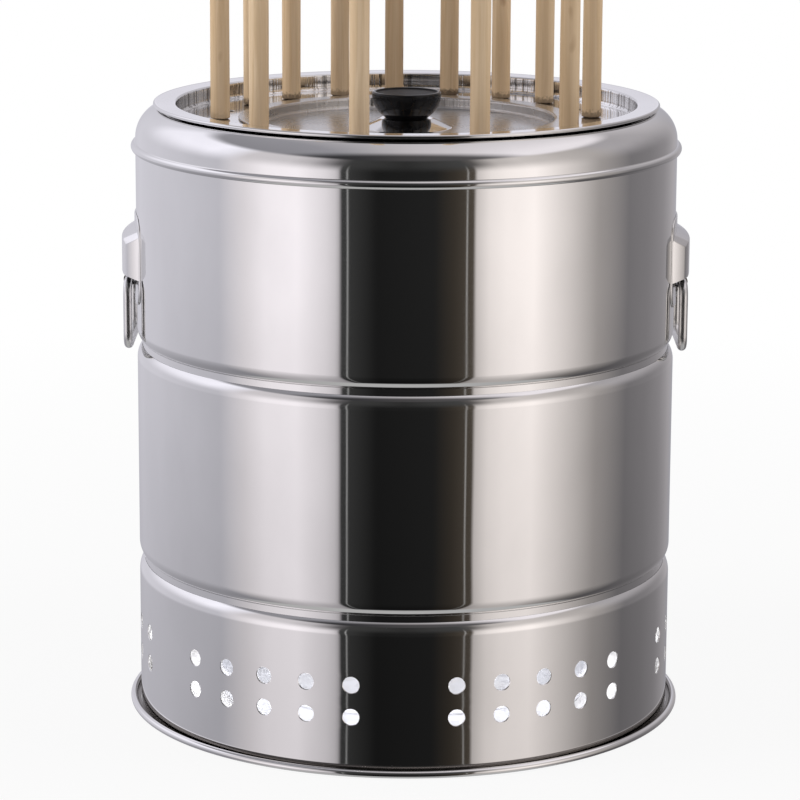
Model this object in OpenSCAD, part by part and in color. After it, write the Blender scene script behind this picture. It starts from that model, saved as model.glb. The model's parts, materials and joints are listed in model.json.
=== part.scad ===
// Charcoal barrel grill with hanging skewers: a polished sheet-steel barrel in three bands,
// a dished lid that carries the skewers round a central fire-hole cover, and a fire basket,
// drip tray and ash pan inside. The ground is z = 0, the barrel's axis is Z and the front is -Y.

/* [Barrel] */
// Outer radius of the barrel wall
barrel_r = 150; // [140:1:160]
// Thickness of the steel sheet
sheet = 1; // [0.8:0.1:1.2]
// Height of the vent band, from the ground to the lower seam
vent_band_h = 85.5; // [82:0.1:96]
// Height of the middle band, from seam to seam
middle_band_h = 122.3; // [110:0.1:150]
// Height of the upper band, from the upper seam to the collar bead
upper_band_h = 109.6; // [95:0.1:130]
// How far the neck of a band steps in at a seam
seam_depth = 3; // [2.6:0.1:3.6]
// Radius of the rolled shoulder under a seam
seam_roll = 10; // [7:0.5:12]
// Radius of the lip above a seam
seam_lip = 9; // [7:0.5:14]
// Height of the neck that shows in a seam
seam_gap = 3.6; // [2.6:0.1:6]
// Length of the neck that slides into the band below
neck_h = 12; // [10:0.5:14]

/* [Collar] */
// Radius of the bead that joins the collar to the upper band
bead_r = 2.4; // [1.8:0.1:3]
// Straight height of the collar above its bead
collar_step = 2.2; // [1.5:0.1:4]
// Radius of the collar's rounded shoulder
collar_roll = 18; // [15:0.5:20]
// Radius of the roll at the mouth
mouth_roll = 3; // [2.5:0.1:4]
// Length of the skirt that hangs inside the mouth
mouth_skirt = 6; // [4:0.5:8]

/* [Foot] */
// Radius of the foot rim's curl
curl_r = 2; // [1.6:0.1:2.6]
// Gap between the wall and the curl
curl_gap = 1.9; // [1.4:0.1:2.4]
// Height of the wall's foot above the ground
foot_lift = 0.2; // [0.1:0.05:0.4]
// Height of the base pan's floor above the ground
base_floor_h = 5; // [4:0.5:8]
// Height of the stiffening bead in the base pan
base_bead_h = 2; // [1.5:0.1:3]

/* [Vents] */
// Diameter of a vent hole
vent_d = 9; // [6:0.5:11]
// Height of the lower row of vents
vent_z = 31.6; // [28:0.2:36]
// Height from row to row
vent_row_pitch = 17.7; // [14:0.1:20]
// Angle from hole to hole in a group
vent_step = 9.6; // [8:0.1:10]
// Number of hole groups round the barrel
vent_groups = 6; // [4:1:6]
// Number of holes across a group
vent_columns = 5; // [3:1:5]

/* [Carry rings] */
// Thickness of the brackets' sheet
ear_sheet = 0.8; // [0.6:0.1:1]
// Diameter of the ring's wire
ring_wire_d = 5; // [4:0.1:6]
// Distance between the centres of the ring's legs
ring_w = 50; // [44:1:56]
// Distance between the centres of the ring's hinge bar and bottom bar
ring_l = 35; // [30:0.5:42]
// Radius of the ring's corners, at the wire's centre
ring_corner = 7; // [5:0.5:8]
// Height of the ring's hinge above the upper seam
ring_hinge_h = 34.6; // [30:0.1:40]
// Height of the hood's face above the hinge
hood_h = 25.5; // [22:0.5:28]
// Height of the hood's sloping roof
hood_roof = 11; // [7:0.5:13]
// How far each side of the hood spreads towards the barrel
hood_flare = 6.5; // [5:0.5:8]
// Radius of the hood's rounded edges
hood_edge = 4.5; // [3:0.1:5.5]
// Height of the hood's open lower edge above the hinge, at the barrel
hood_lip = 4.5; // [4:0.1:6]
// Width of the keeper strap over the hinge bar
keeper_w = 20; // [16:1:24]
// Length of the strap's ends beyond the hinge bar
keeper_foot = 5.5; // [4:0.5:7]

/* [Skewer lid] */
// How far the lid's flange reaches past the crown of the collar
flange_overhang = 8; // [7:0.2:9]
// Depth of the lid's well below the flange
well_depth = 9.4; // [8:0.2:12]
// Radius of the fillet at the bottom of the well
well_fillet = 2.5; // [1.5:0.1:3.5]
// Radius of the fillet at the flange
flange_fillet = 1.6; // [1.3:0.1:2.2]
// Radius of the hem at the flange's edge
hem_r = 1; // [0.8:0.1:1.2]
// Distance from the skewer circle in to the edge of the fire hole
fire_hole_inset = 19.5; // [18.5:0.5:28]
// Depth of the turned-down lip round the fire hole
fire_lip = 5; // [4:0.5:8]
// Distance from the barrel's wall in to the circle of skewer holes
skewer_inset = 47; // [44:0.5:51]
// Diameter of a skewer hole
skewer_hole_d = 7; // [6:0.2:8]
// Angle of the first skewer hole, from the front towards +X
skewer_phase = -14; // [-20:0.5:0]
// Number of skewer holes
skewer_holes = 20; // [19:1:22]

/* [Fire-hole cover] */
// Width of the cover's flange past the fire hole
cover_overhang = 9.5; // [6:0.5:10]
// Depth of the cover's well
cover_depth = 6.4; // [5.6:0.1:9]
// Radius of the fillet at the bottom of the cover's well
cover_fillet = 2; // [1.5:0.1:2.4]
// Height of the cone that carries the knob
boss_h = 5.2; // [4.8:0.1:6]
// Radius of the cone at its foot
boss_foot_r = 25; // [22:0.5:30]
// Radius of the flat on top of the cone
boss_top_r = 14.6; // [14.4:0.1:17]
// Radius of the knob's rim
knob_r = 19.2; // [18:0.2:22]
// Radius of the knob's foot
knob_foot_r = 13.2; // [12:0.2:14.2]
// Height of the knob
knob_h = 14.8; // [13.5:0.1:18]
// Diameter of the knob's screw
screw_d = 4.8; // [4:0.1:6]
// Length of the screw inside the knob
screw_reach = 9; // [7:0.5:10]

/* [Skewers] */
// Diameter of a wooden handle
handle_d = 10.8; // [9:0.2:12]
// Length of a wooden handle
handle_l = 150; // [110:1:180]
// Diameter of a steel needle
needle_d = 3.4; // [2.6:0.1:4.4]
// Length of the needle inside the handle
tang_l = 40; // [25:1:60]
// Length of the needle's point
point_l = 9; // [5:0.5:14]
// Height of the needle's tip above the drip tray's chimney
tip_gap = 18; // [12:1:40]

/* [Fire basket] */
// Outer radius of the basket
basket_r = 64; // [60:0.5:66]
// Height of the basket's wall
basket_h = 106; // [90:1:112]
// Height of the basket's underside above the ash pan
basket_leg_h = 46; // [40:0.5:50]
// Width of the lip that carries the fire grate
basket_lip = 7; // [5:0.5:9]
// Width of a slot in the basket's wall
slot_w = 10; // [7:0.5:12]
// Plain height of the basket's wall below and above the slots
slot_margin = 16; // [16:0.5:22]
// Number of slots round the basket
slot_count = 12; // [8:1:14]
// Width of a gap in the fire grate
grate_gap = 6; // [5:0.5:8]
// Width of a bar of the fire grate
grate_bar = 6; // [4:0.5:8]
// Thickness of the fire grate
grate_t = 2; // [1.5:0.1:2.5]
// Width of a basket leg
leg_w = 12; // [9:0.5:15]
// Thickness of a basket leg
leg_t = 2; // [1.5:0.1:2.5]
// Diameter of the basket bail's wire
bail_wire_d = 3; // [2.4:0.1:3.6]
// Width of the ears that carry the bail
ear_w = 11; // [9:0.5:13]

/* [Drip tray and ash pan] */
// Height of the tray's ledges above the lip of the lower seam
ledge_rise = 4; // [1:0.1:6]
// Depth of the drip tray
tray_depth = 14; // [10:0.5:16]
// Height of the chimney in the drip tray above the tray's flange
tray_inner_rise = 7; // [4:0.5:9]
// Width of the drip tray's flange
tray_flange = 8; // [6:0.5:10]
// Radius of the ash pan
ash_pan_r = 108; // [95:1:112]
// Height of the ash pan
ash_pan_h = 17; // [12:0.5:19]

/* [Clearances] */
// Gap under a piece that rests loosely on another
seat_gap = 0.3; // [0.2:0.05:0.4]
// Gap at a welded, seamed or riveted lap
weld_gap = 0.1; // [0.08:0.01:0.15]
// Radial gap round a lid in its opening
lid_clearance = 0.7; // [0.5:0.1:1]
// Radial gap round a hinge wire
hinge_gap = 0.08; // [0.05:0.01:0.1]
// Gap between the basket and the drip tray
basket_clearance = 12.5; // [10:0.5:14]
// Gap between the drip tray and the barrel's neck
tray_clearance = 2; // [1.5:0.1:3]

/* [Hidden] */
$fn = 96;
arc_steps = 8;
filled_holes = [0, 2, 4, 6, 8, 9, 10, 11, 12, 13, 14, 16, 18];

steel = [0.78, 0.78, 0.79];
dark_steel = [0.42, 0.41, 0.4];
wood = [0.82, 0.67, 0.46];
black = [0.06, 0.06, 0.07];

// heights of the barrel, from the ground up
lower_seam_z = vent_band_h;
upper_seam_z = lower_seam_z + middle_band_h;
bead_z = upper_seam_z + upper_band_h;
collar_z = bead_z + bead_r + collar_step;
crown_z = collar_z + collar_roll;

// radii of the barrel
inner_r = barrel_r - sheet;
neck_r = barrel_r - seam_depth;
crown_r = barrel_r - collar_roll;
mouth_r = crown_r - mouth_roll;
shoulder_centre = barrel_r - seam_roll;
lip_centre = barrel_r - seam_lip;

// heights and radii of the skewer lid
flange_top = crown_z + seat_gap + sheet;
plate_top = flange_top - well_depth;
well_r = mouth_r - lid_clearance - sheet;
flange_r = crown_r + flange_overhang;
skewer_circle_r = barrel_r - skewer_inset;
fire_hole_r = skewer_circle_r - fire_hole_inset;
lip_roll = 2 * sheet;

// heights and radii of the fire-hole cover, and the screw that holds its knob
cover_top = plate_top + seat_gap + sheet;
cover_floor = cover_top - cover_depth;
boss_top = cover_floor + boss_h;
cover_well_r = fire_hole_r - lid_clearance - sheet;
cover_r = fire_hole_r + cover_overhang;
screw_r = screw_d / 2;
screw_hole_r = screw_r + 0.3;
screw_head_h = screw_r;
washer_t = 1;

// the hinge of a carry ring, its bracket's plate and the inside of its hood
hinge_z = upper_seam_z + ring_hinge_h;
wire_r = ring_wire_d / 2;
plate_r = barrel_r + weld_gap + ear_sheet;
hinge_x = plate_r + seat_gap + wire_r;
strap_in = wire_r + hinge_gap;
strap_out = strap_in + ear_sheet;
hood_in_x = hinge_x + strap_out + weld_gap;
hood_x = hood_in_x + ear_sheet;
hood_lip_rise = 2;
hood_room = 1;

// heights of what stands in the barrel
base_top = base_floor_h;
pan_floor = base_top + seat_gap + sheet;
basket_z = pan_floor + basket_leg_h;
basket_top = basket_z + basket_h;
ledge_t = 1.5;
lip_h = seam_lip * sin(lip_end(seam_lip, neck_r));
ledge_z = lower_seam_z + seam_gap / 2 + lip_h + ledge_rise;
tray_top = ledge_z + ledge_t + seat_gap + sheet;
tray_floor = tray_top - tray_depth;
tray_rim_z = tray_top + tray_inner_rise;
tip_z = tray_rim_z + tip_gap;

// radii of the drip tray
tray_r = neck_r - sheet - tray_clearance;
tray_wall_r = tray_r - tray_flange;
tray_in_r = basket_r + basket_clearance;

// the legs, rivets, ears and bail of the basket
leg_angles = [0, 120, 240];
leg_overlap = slot_margin;
leg_in_r = basket_r + weld_gap;
rivet_r = 2;
rivet_head_h = 1.2;
rivet_z = basket_z + leg_overlap * 0.6;
bail_r = bail_wire_d / 2;
bail_bend = 2 * bail_r;
bail_z = basket_top + bail_r + seat_gap;
ear_t = 1.5;
ear_in_r = basket_r + weld_gap;
bail_arc_r = ear_in_r + ear_t + seat_gap + bail_bend;
// the angle below level at which the bail lies on the back of the basket
bail_rest = acos((basket_r + bail_r + seat_gap) / (bail_arc_r + bail_bend));

// points along an arc about a centre, from one angle to another
function arc(c, r, from, to, steps = arc_steps) =
    [for (i = [0:steps]) let(a = from + (to - from) * i / steps) c + r * [cos(a), sin(a)]];

// outline of a rectangle with round corners, about the origin
function round_rectangle(w, h, r, steps = arc_steps) = concat(
    arc([w / 2 - r, h / 2 - r], r, 0, 90, steps),
    arc([r - w / 2, h / 2 - r], r, 90, 180, steps),
    arc([r - w / 2, r - h / 2], r, 180, 270, steps),
    arc([w / 2 - r, r - h / 2], r, 270, 360, steps));

// angle of a skewer hole, from the front towards +X
function hole_angle(k) = skewer_phase + k * 360 / skewer_holes;

// The rolled shoulder at the top of a band, from the wall in to the neck above
function shoulder_end(r) = acos((neck_r + weld_gap - shoulder_centre) / r);
function shoulder_z(seam_z) = seam_z - seam_gap / 2 - seam_roll * sin(shoulder_end(seam_roll));
function shoulder(seam_z) = let(
    c = [shoulder_centre, shoulder_z(seam_z)],
    inside = seam_roll - sheet) concat(
    arc(c, seam_roll, 0, shoulder_end(seam_roll)),
    arc(c, inside, shoulder_end(inside), 0));

// The lip and neck at the bottom of a band, from the inner wall round to the outer wall
function lip_end(r, end_r) = acos((end_r - lip_centre) / r);
function lip_and_neck(seam_z) = let(
    z = seam_z + seam_gap / 2,
    c = [lip_centre, z + lip_h],
    inside = seam_lip - sheet) concat(
    arc(c, inside, 0, -lip_end(inside, neck_r - sheet)),
    [[neck_r - sheet, z - neck_h], [neck_r, z - neck_h]],
    arc(c, seam_lip, -lip_end(seam_lip, neck_r), 0));

// Bead over the upper band's edge, round shoulder, and a roll into the mouth
module shoulder_collar() {
    bead_step = bead_z + bead_r - sheet;
    roll_c = [crown_r, crown_z - mouth_roll];
    skirt_z = crown_z - mouth_roll - mouth_skirt;
    color(steel) rotate_extrude() polygon(concat(
        arc([barrel_r + weld_gap, bead_z], bead_r, -90, 90),
        arc([crown_r, collar_z], collar_roll, 0, 90, 2 * arc_steps),
        arc(roll_c, mouth_roll, 90, 180),
        [[mouth_r, skirt_z], [mouth_r + sheet, skirt_z]],
        arc(roll_c, mouth_roll - sheet, 180, 90),
        arc([crown_r, collar_z], collar_roll - sheet, 90, 0, 2 * arc_steps),
        [[inner_r, bead_step], [barrel_r + weld_gap, bead_step]]));
}

module upper_band() {
    edge_z = bead_z + bead_r - sheet - weld_gap;
    color(steel) rotate_extrude() polygon(concat(
        lip_and_neck(upper_seam_z), [[barrel_r, edge_z], [inner_r, edge_z]]));
}

module middle_band() {
    color(steel) rotate_extrude() polygon(concat(lip_and_neck(lower_seam_z), shoulder(upper_seam_z)));
}

// Two rows of round vents, in groups with a bare strip between them
module vent_holes() {
    group_step = 360 / vent_groups;
    for (group = [0:vent_groups - 1], column = [0:vent_columns - 1], row = [0:1])
        rotate([0, 0, (group + 0.5) * group_step + (column - (vent_columns - 1) / 2) * vent_step])
            translate([0, -inner_r, vent_z + row * vent_row_pitch])
                rotate([90, 0, 0]) cylinder(d = vent_d, h = 12 * sheet, center = true, $fn = 32);
}

module vent_band() {
    color(steel) difference() {
        rotate_extrude() polygon(concat(
            [[inner_r, foot_lift], [barrel_r, foot_lift]], shoulder(lower_seam_z)));
        vent_holes();
    }
}

// The rim that the barrel stands on: a flat web out from the wall's foot, ending in a curl
module foot_rim() {
    web_in = barrel_r + weld_gap;
    curl_in = barrel_r + curl_gap;
    color(steel) rotate_extrude() polygon(concat(
        [[web_in, 0]],
        arc([curl_in + curl_r, curl_r], curl_r, -90, 180, 3 * arc_steps),
        [[curl_in, sheet], [web_in, sheet]]));
}

// The floor of the barrel, with a skirt inside the wall and a bead round the ash pan
module base_pan() {
    bead_in = ash_pan_r + 3 * sheet;
    bead_mid = bead_in + 2 * base_bead_h;
    bead_out = bead_mid + 2 * base_bead_h;
    skirt_r = inner_r - weld_gap;
    under = base_top - sheet;
    color(steel) rotate_extrude() polygon([
        [0, base_top], [bead_in, base_top], [bead_mid, base_top + base_bead_h], [bead_out, base_top],
        [skirt_r, base_top], [skirt_r, foot_lift], [skirt_r - sheet, foot_lift],
        [skirt_r - sheet, under], [bead_out, under], [bead_mid, under + base_bead_h],
        [bead_in, under], [0, under]]);
}

// One layer of the hood: a thin rounded rectangle at a distance from the barrel's axis
module hood_layer(x, half_w, low, high, r) {
    translate([x, 0, (low + high) / 2]) rotate([90, 0, 90]) linear_extrude(0.01)
        polygon(round_rectangle(2 * half_w, high - low, r));
}

// The swollen form of the hood, grown by a margin: wide at the barrel, with round edges at its face
module hood_form(face_x, margin) {
    half_w = ring_w / 2 + wire_r + hood_room + margin;
    low = hinge_z - hood_h;
    high = hinge_z + hood_h + margin;
    base_x = sqrt(pow(barrel_r, 2) - pow(half_w + hood_flare, 2)) - ear_sheet;
    hull() {
        hood_layer(base_x, half_w + hood_flare, low, high + hood_roof, 2 * hood_edge);
        for (a = [0:30:90]) {
            inset = hood_edge * (1 - cos(a));
            hood_layer(
                face_x - hood_edge * (1 - sin(a)), half_w - inset, low, high - inset, 2 * hood_edge);
        }
    }
}

// Everything below the hood's open edge, which rises away from the barrel
module below_hood_lip() {
    rise = hood_lip_rise / (hood_x - plate_r);
    reach = hood_x - plate_r + 2 * hood_flare;
    lip_z = hinge_z + hood_lip;
    rotate([90, 0, 0]) linear_extrude(2 * ring_w, center = true) polygon([
        [plate_r - reach, lip_z - rise * reach], [plate_r - reach, 0],
        [plate_r + reach, 0], [plate_r + reach, lip_z + rise * reach]]);
}

// Pressed bracket of a carry ring: a plate bent to the barrel, and a hood that is open below
module ear_bracket() {
    plate_w = ring_w + ring_wire_d + 2 * (hood_room + ear_sheet + hood_flare);
    plate_low = hinge_z - strap_out - 1.5 * keeper_foot;
    plate_high = hinge_z + hood_h + hood_roof + 2 * ear_sheet;
    color(steel) union() {
        intersection() {
            difference() {
                cylinder(r = plate_r, h = plate_high);
                translate([0, 0, -1]) cylinder(r = barrel_r + weld_gap, h = plate_high + 2);
            }
            translate([0, 0, (plate_low + plate_high) / 2]) rotate([90, 0, 90])
                linear_extrude(2 * barrel_r)
                    polygon(round_rectangle(plate_w, plate_high - plate_low, 2 * hood_edge));
        }
        difference() {
            hood_form(hood_x, ear_sheet);
            hood_form(hood_in_x, 0);
            cylinder(r = plate_r - ear_sheet / 2, h = 2 * crown_z);
            below_hood_lip();
        }
    }
}

module ear_bracket_right() ear_bracket();
module ear_bracket_left() rotate([0, 0, 180]) ear_bracket();

// Strap over the hinge bar, with round-cornered ends on the bracket's plate
module ring_keeper() {
    foot_x = plate_r + weld_gap;
    half_h = strap_out + keeper_foot;
    translate([0, 0, hinge_z]) intersection() {
        rotate([90, 0, 0]) linear_extrude(keeper_w, center = true) difference() {
            union() {
                translate([hinge_x, 0]) circle(r = strap_out);
                translate([foot_x, -strap_out]) square([hinge_x - foot_x, 2 * strap_out]);
                translate([foot_x, -half_h]) square([ear_sheet, 2 * half_h]);
            }
            translate([hinge_x, 0]) circle(r = strap_in);
            translate([0, -strap_in]) square([hinge_x, 2 * strap_in]);
            translate([0, -2 * half_h]) square([foot_x, 4 * half_h]);
        }
        rotate([90, 0, 90]) linear_extrude(2 * barrel_r)
            polygon(round_rectangle(keeper_w, 2 * half_h, keeper_foot - weld_gap));
    }
}

module ring_keepers() {
    color(steel) for (side = [0, 180]) rotate([0, 0, side]) ring_keeper();
}

// Closed wire loop: four bars joined by round corners
module carry_ring() {
    straight_w = ring_w / 2 - ring_corner;
    straight_l = ring_l / 2 - ring_corner;
    color(steel) translate([hinge_x, 0, hinge_z - ring_l / 2]) rotate([90, 0, 90]) {
        for (side = [-1, 1]) {
            translate([side * ring_w / 2, 0, 0]) rotate([90, 0, 0])
                cylinder(r = wire_r, h = 2 * straight_l, center = true, $fn = 32);
            translate([0, side * ring_l / 2, 0]) rotate([0, 90, 0])
                cylinder(r = wire_r, h = 2 * straight_w, center = true, $fn = 32);
        }
        for (quarter = [0:3]) {
            x = (quarter == 0 || quarter == 3 ? 1 : -1) * straight_w;
            y = (quarter < 2 ? 1 : -1) * straight_l;
            translate([x, y, 0]) rotate([0, 0, 90 * quarter]) rotate_extrude(angle = 90)
                translate([ring_corner, 0]) circle(r = wire_r, $fn = 32);
        }
    }
}

module carry_ring_right() carry_ring();
module carry_ring_left() rotate([0, 0, 180]) carry_ring();

// Three ledges on the wall of the middle band, bent up where they are welded
module tray_ledges() {
    ledge_w = 22;
    weld_h = 12;
    weld_r = inner_r - weld_gap;
    ledge_in_r = tray_wall_r + 2 * sheet;
    color(steel) for (angle = [30, 150, 270]) rotate([0, 0, angle]) intersection() {
        translate([0, 0, ledge_z]) rotate_extrude() polygon([
            [ledge_in_r, 0], [weld_r, 0], [weld_r, weld_h], [weld_r - ledge_t, weld_h],
            [weld_r - ledge_t, ledge_t], [ledge_in_r, ledge_t]]);
        translate([-ledge_w / 2, -barrel_r, 0]) cube([ledge_w, barrel_r, crown_z]);
    }
}

// Annular tray: a flange on the ledges and a trough under the skewers
module drip_tray() {
    trough_c = [tray_wall_r - 4 * sheet, tray_floor + 4 * sheet];
    floor_in = tray_in_r + sheet + weld_gap;
    color(steel) rotate_extrude() polygon(concat(
        [[floor_in, tray_floor - sheet]],
        arc(trough_c, 5 * sheet, -90, 0),
        [[tray_wall_r + sheet, tray_top - sheet], [tray_r, tray_top - sheet],
         [tray_r, tray_top], [tray_wall_r, tray_top]],
        arc(trough_c, 4 * sheet, 0, -90),
        [[floor_in, tray_floor]]));
}

// Short chimney round the fire basket, welded into the hole of the drip tray
module tray_chimney() {
    color(steel) rotate_extrude() translate([tray_in_r, tray_floor - sheet])
        square([sheet, tray_rim_z - tray_floor + sheet]);
}

// Shallow pan with a rolled rim, loose on the base pan
module ash_pan() {
    rim_r = 1.6;
    under = pan_floor - sheet;
    rim_z = under + ash_pan_h - rim_r;
    wall_r = ash_pan_r - 2 * rim_r;
    corner = 5 * sheet;
    corner_c = [wall_r - corner, under + corner];
    color(dark_steel) rotate_extrude() union() {
        polygon(concat(
            [[0, pan_floor], [0, under]],
            arc(corner_c, corner, -90, 0),
            [[wall_r, rim_z], [wall_r - sheet, rim_z]],
            arc(corner_c, corner - sheet, 0, -90)));
        translate([wall_r + rim_r - sheet, rim_z]) circle(r = rim_r, $fn = 24);
    }
}

// a hole or rivet shank at each leg, pointing out from the basket's axis
module at_legs() {
    for (angle = leg_angles) rotate([0, 0, angle - 90])
        translate([0, 0, rivet_z]) rotate([0, 90, 0]) children();
}

// Basket wall with tall round-ended slots and a lip that carries the grate
module basket_wall() {
    slot_l = basket_h - 2 * slot_margin;
    slot_steps = 4;
    color(dark_steel) difference() {
        rotate_extrude() polygon([
            [basket_r - basket_lip, basket_z], [basket_r, basket_z], [basket_r, basket_top],
            [basket_r - sheet, basket_top], [basket_r - sheet, basket_z + sheet],
            [basket_r - basket_lip, basket_z + sheet]]);
        for (k = [0:slot_count - 1]) rotate([0, 0, (k + 0.5) * 360 / slot_count])
            translate([0, 0, basket_z + basket_h / 2]) rotate([90, 0, 0]) linear_extrude(2 * basket_r)
                polygon(round_rectangle(slot_w, slot_l, slot_w * 0.49, slot_steps));
        at_legs() cylinder(r = rivet_r + weld_gap, h = 2 * basket_r, $fn = 32);
    }
}

// Round plate with parallel gaps, loose on the basket's lip
module fire_grate() {
    grate_r = basket_r - sheet - lid_clearance;
    rim = grate_bar;
    pitch = grate_gap + grate_bar;
    count = floor((grate_r - rim - grate_gap) / pitch);
    color(dark_steel) translate([0, 0, basket_z + sheet + weld_gap]) linear_extrude(grate_t) difference() {
        circle(r = grate_r);
        for (k = [-count:count]) intersection() {
            circle(r = grate_r - rim);
            translate([k * pitch - grate_gap / 2, -grate_r]) square([grate_gap, 2 * grate_r]);
        }
    }
}

// Three strip legs outside the basket, each turned in at the foot
module basket_legs() {
    foot_l = 14;
    leg_low = pan_floor + seat_gap;
    leg_high = basket_z + leg_overlap;
    color(dark_steel) difference() {
        for (angle = leg_angles) rotate([0, 0, angle - 90]) intersection() {
            rotate_extrude() polygon([
                [leg_in_r, leg_high], [leg_in_r, leg_low + leg_t], [leg_in_r - foot_l, leg_low + leg_t],
                [leg_in_r - foot_l, leg_low], [leg_in_r + leg_t, leg_low], [leg_in_r + leg_t, leg_high]]);
            translate([0, -leg_w / 2, 0]) cube([2 * basket_r, leg_w, basket_top]);
        }
        at_legs() cylinder(r = rivet_r + weld_gap, h = 2 * basket_r, $fn = 32);
    }
}

// A rivet through each leg and the wall behind it, with a flat inner and a coned outer head
module basket_rivets() {
    inner_face = basket_r - sheet - 2 * weld_gap;
    outer_face = leg_in_r + leg_t + weld_gap;
    color(steel) at_legs() {
        translate([0, 0, inner_face - rivet_head_h])
            cylinder(r = 1.6 * rivet_r, h = rivet_head_h, $fn = 32);
        translate([0, 0, inner_face - rivet_head_h])
            cylinder(r = rivet_r, h = outer_face - inner_face + 1.5 * rivet_head_h, $fn = 32);
        translate([0, 0, outer_face])
            cylinder(r1 = 2 * rivet_r, r2 = 1.2 * rivet_r, h = rivet_head_h, $fn = 32);
    }
}

// Two upright ears on the basket's rim, drilled for the bail
module bail_ears() {
    low = basket_top - ear_w;
    high = bail_z + ear_w / 2;
    color(dark_steel) difference() {
        for (side = [0, 180]) rotate([0, 0, side]) intersection() {
            rotate_extrude() polygon([[ear_in_r, low], [ear_in_r + ear_t, low],
                [ear_in_r + ear_t, high], [ear_in_r, high]]);
            translate([0, 0, (low + high) / 2]) rotate([90, 0, 90]) linear_extrude(2 * basket_r)
                polygon(round_rectangle(ear_w, high - low, ear_w * 0.49));
        }
        translate([0, 0, bail_z]) rotate([0, 90, 0])
            cylinder(r = bail_r + hinge_gap, h = 4 * basket_r, center = true, $fn = 32);
    }
}

// Half hoop that lies on the back of the basket, with an end turned in through each ear
module basket_bail() {
    pin_in = ear_in_r - bail_wire_d;
    pin_out = bail_arc_r - bail_bend;
    color(steel) translate([0, 0, bail_z]) rotate([-bail_rest, 0, 0]) {
        translate([0, bail_bend, 0]) rotate_extrude(angle = 180)
            translate([bail_arc_r, 0]) circle(r = bail_r, $fn = 24);
        for (side = [0, 1]) mirror([side, 0, 0]) {
            translate([pin_out, bail_bend, 0]) rotate([0, 0, -90]) rotate_extrude(angle = 90)
                translate([bail_bend, 0]) circle(r = bail_r, $fn = 24);
            translate([pin_in, 0, 0]) rotate([0, 90, 0])
                cylinder(r = bail_r, h = pin_out - pin_in, $fn = 24);
        }
    }
}

// Dished lid: a hemmed flange on the collar, a well, and a plate with the skewer holes
module skewer_lid() {
    well_c = [well_r - well_fillet, plate_top + well_fillet];
    flange_c = [well_r + flange_fillet, flange_top - flange_fillet];
    lip_c = [fire_hole_r + lip_roll, plate_top - lip_roll];
    hem_c = [flange_r - hem_r, flange_top - sheet + 0.4 * hem_r];
    color(steel) difference() {
        rotate_extrude() polygon(concat(
            [[fire_hole_r + sheet, plate_top - fire_lip], [fire_hole_r, plate_top - fire_lip]],
            arc(lip_c, lip_roll, 180, 90),
            arc(well_c, well_fillet, -90, 0),
            arc(flange_c, flange_fillet, 180, 90),
            arc(hem_c, hem_r, 120, -120, 2 * arc_steps),
            [[flange_r - 2 * hem_r, flange_top - sheet]],
            arc(flange_c, flange_fillet - sheet, 90, 180),
            arc(well_c, well_fillet + sheet, 0, -90),
            arc(lip_c, lip_roll - sheet, 90, 180)));
        for (k = [0:skewer_holes - 1]) rotate([0, 0, hole_angle(k)])
            translate([0, -skewer_circle_r, plate_top])
                cylinder(d = skewer_hole_d, h = 4 * sheet, center = true, $fn = 32);
    }
}

// Dished cover of the fire hole, with a cone in the middle that lifts the knob
module fire_hole_cover() {
    well_c = [cover_well_r - cover_fillet, cover_floor + cover_fillet];
    flange_c = [cover_well_r + flange_fillet, cover_top - flange_fillet];
    color(steel) difference() {
        rotate_extrude() polygon(concat(
            [[0, boss_top], [boss_top_r, boss_top], [boss_foot_r, cover_floor]],
            arc(well_c, cover_fillet, -90, 0),
            arc(flange_c, flange_fillet, 180, 90),
            [[cover_r, cover_top], [cover_r, cover_top - sheet]],
            arc(flange_c, flange_fillet - sheet, 90, 180),
            arc(well_c, cover_fillet + sheet, 0, -90),
            [[boss_foot_r, cover_floor - sheet], [boss_top_r, boss_top - sheet], [0, boss_top - sheet]]));
        translate([0, 0, boss_top]) cylinder(r = screw_hole_r, h = 6 * sheet, center = true, $fn = 32);
    }
}

// Moulded knob: sides that swell in an S-curve from a narrow foot to a round rim, and a dished top
module cover_knob() {
    rim = 1.2;
    dish = 0.9;
    side_h = knob_h - rim;
    swell = knob_r - knob_foot_r;
    color(black) translate([0, 0, boss_top]) difference() {
        rotate_extrude() polygon(concat(
            [[0, 0]],
            [for (t = [0:0.1:1]) [knob_foot_r + swell * t * t * (3 - 2 * t), side_h * t]],
            arc([knob_r - rim, side_h], rim, 0, 90, 4),
            [[knob_r - 2 * rim, knob_h - dish], [0, knob_h - dish]]));
        translate([0, 0, -1]) cylinder(r = screw_r + weld_gap, h = screw_reach + 1.5, $fn = 32);
    }
}

module knob_washer() {
    color(steel) translate([0, 0, boss_top - sheet - washer_t]) difference() {
        cylinder(r = 2.5 * screw_r, h = washer_t, $fn = 48);
        translate([0, 0, -1]) cylinder(r = screw_hole_r, h = washer_t + 2, $fn = 32);
    }
}

module knob_screw() {
    color(steel) translate([0, 0, boss_top - sheet - washer_t]) {
        cylinder(r = screw_r, h = sheet + washer_t + screw_reach, $fn = 32);
        translate([0, 0, -screw_head_h])
            cylinder(r1 = 1.4 * screw_r, r2 = 1.8 * screw_r, h = screw_head_h, $fn = 48);
    }
}

// moves a skewer from the barrel's axis to its hole
module at_skewer(i) {
    rotate([0, 0, hole_angle(filled_holes[i])]) translate([0, -skewer_circle_r, plate_top]) children();
}

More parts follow.
